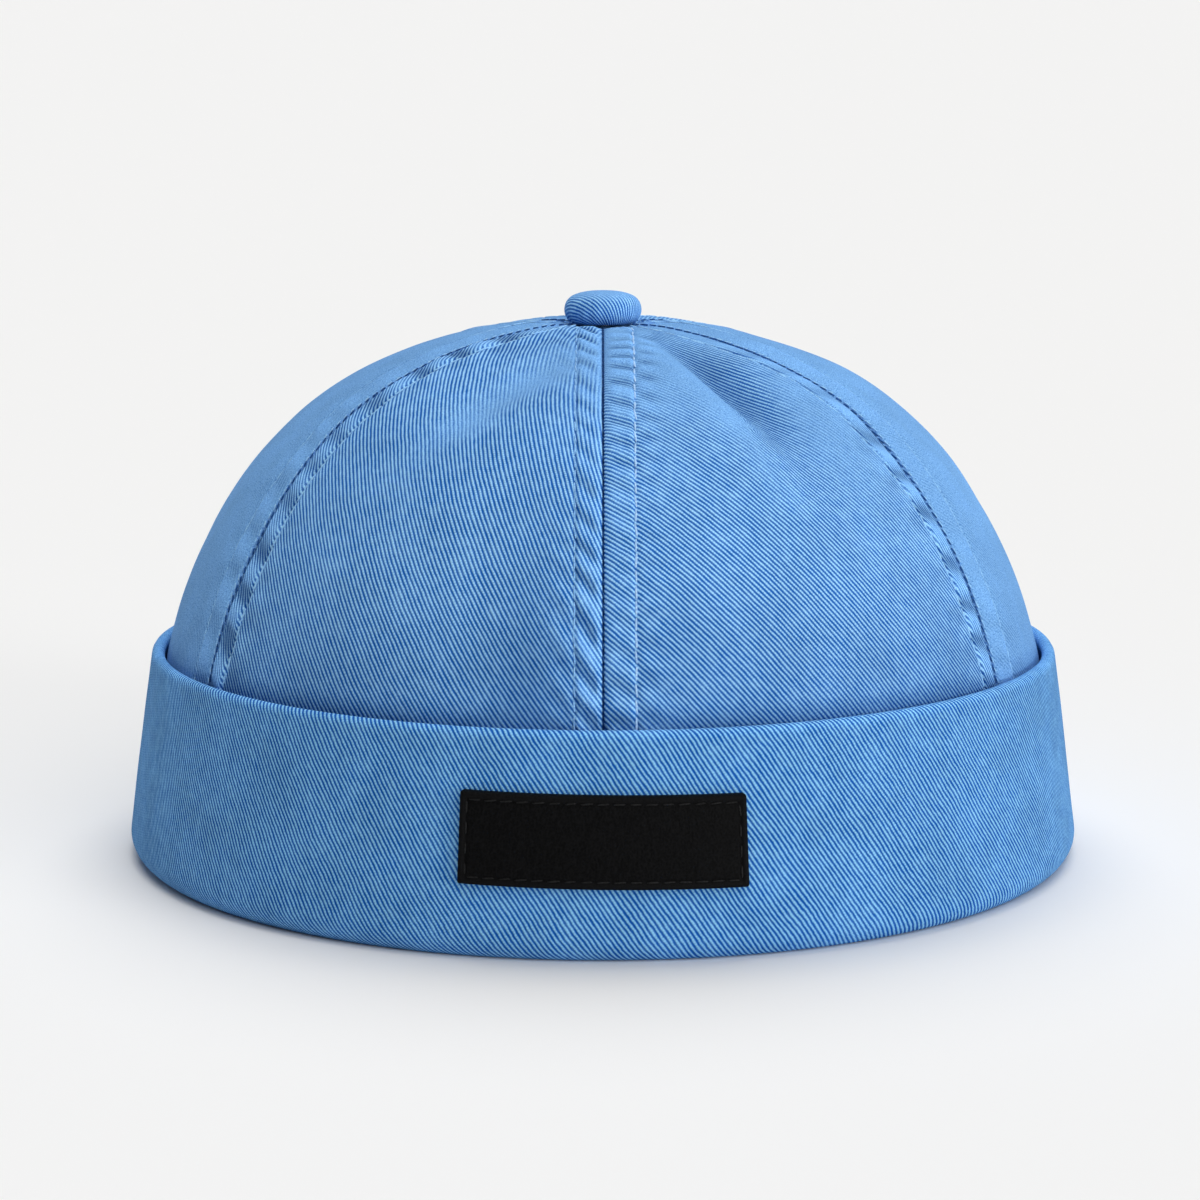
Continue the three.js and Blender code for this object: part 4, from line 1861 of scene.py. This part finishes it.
@dataclass
class Button:
    """Covered button on the top of the crown, in millimetres."""

    crown: CrownShape = field(default_factory=CrownShape)
    radius: float = 8.15
    height: float = 6.4
    seat_share: float = 0.60
    seat_gap: float = 0.3
    profile_steps: int = 8
    hole_depth: float = 3.6
    foot_width: float = 1.4
    foot_bevel: float = 0.4
    roof_drop: float = 0.3
    roof_radius: float = 0.9
    segments: int = 120
    gathers: int = 17
    gather_depth: float = 0.10
    gather_height: float = 1.4
    gather_spread: float = 1.7
    gather_sway: float = 0.6
    # Painted shade low on the cover, darker on the left, and wear on its top and flanks, at shares of the
    # height and of the radius
    painted_shade: float = 0.9
    painted_shade_heights: Limits = (-0.10, 0.42)
    painted_shade_tilt: float = 0.12
    top_rub: float = 0.75
    top_rub_heights: Limits = (0.66, 0.96)
    side_rub: float = 0.6
    side_rub_places: Limits = (0.72, 1.0)
    side_shift: float = 0.05

    @property
    def base(self) -> float:
        """Foot of the button, in the dip of the crown.

        Returns:
            Its height.
        """
        crown = self.crown
        dip = float(mound(self.radius * self.seat_share, crown.top_dip_radius))
        return crown.top - crown.top_dip * dip + self.seat_gap

    def hole(self) -> Array:
        """Outline of the blind hole.

        Returns:
            Radius and height of each point, from the roof of the hole out to the foot.
        """
        base, hole, bevel = self.base, self.crown.hole_radius, self.foot_bevel
        roof = base + self.hole_depth
        return np.array([
            [self.roof_radius, roof],
            [hole - bevel, roof],
            [hole, roof - self.roof_drop],
            [hole, base + bevel],
            [hole + bevel, base],
            [hole + self.foot_width, base],
        ])

    def marks(self, points: Array) -> dict[str, Array]:
        """Painted shade low on the cover, darker on its left, and wear rubbed on its top and its flanks.

        Args:
            points: the vertices.

        Returns:
            The values for each vertex.
        """
        rise = (points[:, 2] - self.base) / self.height
        side = points[:, 0] / self.radius
        low, high = self.painted_shade_heights
        top_rub = self.top_rub * step(rise, *self.top_rub_heights)
        side_rub = self.side_rub * step(np.abs(side + self.side_shift), *self.side_rub_places)
        return {
            WEAR_AND_PAINTED_SHADING: -self.painted_shade * (1.0 - step(rise, low, high - self.painted_shade_tilt * side)),
            SEAM: np.zeros(len(points)),
            RUB: np.maximum(top_rub, side_rub),
        }

    def build(self, finishes: Finishes) -> None:
        """Makes the covered button with its blind hole, and finishes the tack below it.

        Args:
            finishes: the materials.
        """
        base, hole = self.base, self.hole()
        profile = [(reach * self.radius, base + rise * self.height) for reach, rise in BUTTON_PROFILE]
        cover = spline(profile, self.profile_steps)
        cover[:, 0] = np.maximum(cover[:, 0], 0.0)
        outline = np.vstack([hole, cover[:-1]])
        from_top = lengths_along(cover[::-1])[::-1]
        shares = np.concatenate([np.full(len(hole), from_top[0]), from_top[:-1]])[:, None]
        flank = mound(cover[:-1, 1] - base - self.gather_height, self.gather_spread)
        flank = np.concatenate([np.zeros(len(hole)), flank])[:, None]
        angle = np.arange(self.segments) * math.tau / self.segments
        folds = np.cos(self.gathers * angle + self.gather_sway * np.sin(3.0 * angle))
        gather = self.gather_depth * flank * folds[None]
        ring = around(outline[:, :1] - gather, angle[None], outline[:, 1:])
        poles = [[0.0, 0.0, base + self.hole_depth], [0.0, 0.0, cover[-1, 1]]]
        points = np.vstack([ring.reshape(-1, 3), poles])
        flat = np.stack([shares * np.sin(angle), -shares * np.cos(angle)], -1).reshape(-1, 2)
        flat = np.vstack([flat, np.zeros((2, 2))])
        piece = mesh_object("covered_button", points, self.faces(len(outline)), flat, self.marks(points))
        piece.data.materials.append(finishes.button)
        dress(piece, "button_cloth", "button")
        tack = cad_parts["button_tack"]
        tack.data.materials.clear()
        tack.data.materials.append(finishes.steel)

    def faces(self, rows: int) -> list[list[int]]:
        """Joins the rings of points, and closes both ends with fans of triangles.

        Args:
            rows: how many rings there are, with the two poles behind them.

        Returns:
            The vertex numbers of each face.
        """
        count = rows * self.segments
        index = np.arange(count).reshape(rows, self.segments)
        turned = np.roll(index, -1, axis=1)
        quads = np.stack([index[:-1], turned[:-1], turned[1:], index[1:]], -1).reshape(-1, 4)
        low, high = np.full(self.segments, count), np.full(self.segments, count + 1)
        fans = [np.stack([low, turned[0], index[0]], -1), np.stack([high, index[-1], turned[-1]], -1)]
        return quads.tolist() + np.vstack(fans).tolist()


# Patch


@dataclass
class Patch:
    """Bare leather patch on the front of the cuff, in millimetres and degrees."""

    cuff: Cuff
    width: float = 55.4
    height: float = 17.8
    thickness: float = 1.6
    edge_thickness: float = 1.0
    edge_round: float = 0.6
    centre: float = 23.7
    tilt: float = 0.7
    seat_gap: float = 0.3
    corner: float = 0.6
    columns: int = 90
    rows: int = 26
    near_edge: tuple[float, ...] = (
        0.0, 0.12, 0.25, 0.4, 0.6, 0.85, 1.1,
        1.35, 1.55, 1.75, 1.95, 2.2, 2.5, 3.0,
    )
    border: float = 1.5
    welt: float = 0.16
    welt_start: Limits = (0.2, 0.7)
    # How far before and after the border line the welt falls
    welt_end: Limits = (0.45, 0.05)
    welt_wear: float = 0.8
    edge_wear: float = 0.4
    edge_place: float = 0.35
    edge_spread: float = 0.3
    channel: float = 0.20
    channel_spread: float = 0.38
    quilt: float = 0.05
    quilt_turns: tuple[float, float] = (0.41, 0.55)
    quilt_phase: float = 0.7
    quilt_start: Limits = (2.0, 5.0)
    stitch_inset: float = 1.5
    stitch_sink: float = 0.12
    line_steps: int = 120
    stitches: Stitches = Stitches(Thread.BLACK, 3.1, 2.3, 0.44, 0.06, thickness=0.34, unevenness=0.08, seed=3)

    def on_cuff(self, side: Array, rise: Array, lift: Array) -> Array:
        """Points of the patch bent round the cuff.

        Args:
            side: distances to the right of the patch's middle.
            rise: distances above it.
            lift: heights above the cuff.

        Returns:
            The points.
        """
        tilt = math.radians(self.tilt)
        height = self.centre + rise * math.cos(tilt) - side * math.sin(tilt)
        radius = self.cuff.face_radius(height) + self.seat_gap + lift
        return around(radius, side / self.cuff.face_radius(self.centre), height)

    def rounded(self, across: Array, up: Array) -> tuple[Array, Array]:
        """Moves places of the rectangle near its corners onto rounded corners.

        Args:
            across: distances to the right of the middle.
            up: distances above it.

        Returns:
            The moved distances.
        """
        wide, high = self.width / 2 - self.corner, self.height / 2 - self.corner
        out = np.maximum(np.abs(across) - wide, 0.0) / self.corner
        over = np.maximum(np.abs(up) - high, 0.0) / self.corner
        new_out = out * np.sqrt(1.0 - over**2 / 2.0)
        new_over = over * np.sqrt(1.0 - out**2 / 2.0)
        both = (out > 0) & (over > 0)
        side = np.where(both, np.sign(across) * (wide + new_out * self.corner), across)
        rise = np.where(both, np.sign(up) * (high + new_over * self.corner), up)
        return side, rise

    def edge_distance(self, side: Array, rise: Array) -> Array:
        """Distance inwards from the rounded outline.

        Args:
            side: distances to the right of the middle.
            rise: distances above it.

        Returns:
            The distances.
        """
        wide, high = self.width / 2 - self.corner, self.height / 2 - self.corner
        out, over = np.abs(side) - wide, np.abs(rise) - high
        outside = np.hypot(np.maximum(out, 0.0), np.maximum(over, 0.0))
        return self.corner - outside - np.minimum(np.maximum(out, over), 0.0)

    def crowded(self, half: float, middle: int) -> Array:
        """Places from -half to half, crowded at the edges.

        Args:
            half: half the length.
            middle: how many places the middle part has, with its two ends.

        Returns:
            The places.
        """
        near = np.array(self.near_edge)
        inner = np.linspace(-half + near[-1], half - near[-1], middle)[1:-1]
        return np.concatenate([near - half, inner, (half - near)[::-1]])

    def build(self, group: bpy.types.GeometryNodeTree, finishes: Finishes) -> None:
        """Makes the patch and its border of stitches.

        Args:
            group: the stitch group.
            finishes: the materials.
        """
        places = self.crowded(self.width / 2, self.columns), self.crowded(self.height / 2, self.rows)
        side, rise = self.rounded(*np.meshgrid(*places))
        inward = self.edge_distance(side, rise)
        fullness = np.sqrt(1.0 - (1.0 - np.clip(inward / self.edge_round, 0.0, 1.0)) ** 2)
        edge = self.edge_thickness + (self.thickness - self.edge_thickness) * fullness
        before, after = self.welt_end
        falling = 1.0 - step(inward, self.border - before, self.border + after)
        welt = self.welt * step(inward, *self.welt_start) * falling
        channel = self.channel * mound(inward - self.stitch_inset, self.channel_spread)
        across, up = self.quilt_turns
        quilt = self.quilt * np.cos(side * across + self.quilt_phase) * np.cos(rise * up)
        quilt = quilt * step(inward, *self.quilt_start)
        outer = self.on_cuff(side, rise, edge + welt - channel + quilt)
        inner = self.on_cuff(side, rise, np.zeros_like(side))
        points, faces = shell(outer, inner)
        edge_wear = self.edge_wear * mound(inward - self.edge_place, self.edge_spread)
        wear = np.clip(welt / self.welt, 0.0, 1.0) * self.welt_wear + edge_wear
        piece = mesh_object("leather_patch", points, faces, None, {WEAR_AND_PAINTED_SHADING: np.tile(wear.ravel(), 2)})
        piece.data.materials.append(finishes.leather)
        dress(piece, "patch_leather", "patch")
        self.sew(group, finishes)

    def sew(self, group: bpy.types.GeometryNodeTree, finishes: Finishes) -> None:
        """Sews the border of the patch.

        Args:
            group: the stitch group.
            finishes: the materials.
        """
        wide, high = self.width / 2 - self.stitch_inset, self.height / 2 - self.stitch_inset
        spare = self.stitches.pitch / 2
        lean = self.cuff.lean
        lines, directions = [], []
        for x, y, run in ((0.0, high, wide), (0.0, -high, wide), (wide, 0.0, high), (-wide, 0.0, high)):
            even = np.linspace(spare - run, run - spare, self.line_steps)
            fixed = np.full_like(even, x or y)
            side, rise = (fixed, even) if x else (even, fixed)
            lines.append(self.on_cuff(side, rise, np.full_like(even, self.thickness - self.stitch_sink)))
            azimuth = side / self.cuff.face_radius(self.centre)
            outward = np.full_like(even, math.cos(lean)), np.full_like(even, math.sin(lean))
            directions.append(around(outward[0], azimuth, outward[1]))
        helper = line_object("patch_line", lines, directions)
        dress(grow("patch_stitches", helper, group, self.stitches.values(finishes)), "patch_leather")


# Studio


@dataclass(frozen=True)
class Lamp:
    """A wide soft light far away. Angles in degrees, azimuth from the front towards +X."""

    name: str
    strength: float
    azimuth: float
    height: float
    spread: float


@dataclass
class Studio:
    """Plain pale floor, soft light and the camera at the photograph's viewing angle."""

    camera_place: tuple[float, float, float] = (-0.00062, -0.765, 0.187)
    camera_pitch: float = 9.938
    lens: float = 107.42
    sensor: float = 36.0
    far_limit: float = 500.0
    floor_half: float = 60.0
    floor_colour: Colour = (0.908, 0.905, 0.900)
    backdrop: float = 0.908
    ambient: float = 0.13
    lamps: tuple[Lamp, ...] = (
        Lamp("overhead", 1.95, 180.0, 66.0, 56.0),
        Lamp("front", 1.05, 26.0, 48.0, 50.0),
        Lamp("side", 1.82, 56.0, 3.0, 26.0),
    )

    def floor(self) -> None:
        """Lays the floor."""
        half = self.floor_half / METRES
        corners = np.array([[-half, -half, 0.0], [half, -half, 0.0], [half, half, 0.0], [-half, half, 0.0]])
        piece = mesh_object("floor", corners, [[0, 1, 2, 3]])
        material, _, shader = new_material("pale floor")
        shader.inputs["Base Color"].default_value = colour(self.floor_colour)
        shader.inputs["Roughness"].default_value = 1.0
        shader.inputs["Specular IOR Level"].default_value = 0.0
        piece.data.materials.append(material)

    def light(self) -> None:
        """Sets the even surrounding light and the wide soft lamps."""
        world = bpy.data.worlds.new("studio")
        bpy.context.scene.world = world
        world.use_nodes = True
        tree = Tree(world.node_tree)
        world.node_tree.nodes.remove(world.node_tree.nodes["Background"])
        white = colour((1.0, 1.0, 1.0))
        even = tree.out("ShaderNodeBackground", white, self.ambient)
        seen = tree.out("ShaderNodeBackground", white, self.backdrop)
        ray = tree.out("ShaderNodeLightPath", output="Is Camera Ray")
        both = tree.out("ShaderNodeMixShader", ray, even, seen)
        world.node_tree.links.new(both, world.node_tree.nodes["World Output"].inputs["Surface"])
        for lamp in self.lamps:
            data = bpy.data.lights.new(lamp.name, "SUN")
            data.energy = lamp.strength
            data.angle = math.radians(lamp.spread)
            light = bpy.data.objects.new(lamp.name, data)
            light.rotation_euler = (math.radians(90.0 - lamp.height), 0.0, math.radians(lamp.azimuth))
            bpy.context.scene.collection.objects.link(light)

    def camera(self) -> None:
        """Places the camera."""
        data = bpy.data.cameras.new("photograph")
        data.lens = self.lens
        data.sensor_width = self.sensor
        data.clip_end = self.far_limit
        camera = bpy.data.objects.new("photograph", data)
        camera.location = self.camera_place
        camera.rotation_euler = (math.radians(90.0 - self.camera_pitch), 0.0, 0.0)
        bpy.context.scene.collection.objects.link(camera)
        bpy.context.scene.camera = camera

    def build(self) -> None:
        """Sets up the studio."""
        self.camera()
        self.floor()
        self.light()
        bpy.context.scene.view_settings.view_transform = "Standard"


def main() -> None:
    """Builds the cap and its studio, in order."""
    logging.basicConfig(level=logging.INFO, format="%(name)s: %(message)s")
    Studio().build()
    finishes = Finishes()
    stitches, band = stitch_group(), band_group()
    shape = CrownShape()
    cuff = Cuff(shape)
    Crown(shape).build(stitches, finishes)
    cuff.build(band, finishes)
    Button(shape).build(finishes)
    Patch(cuff).build(stitches, finishes)


if __name__ == "__main__":
    main()
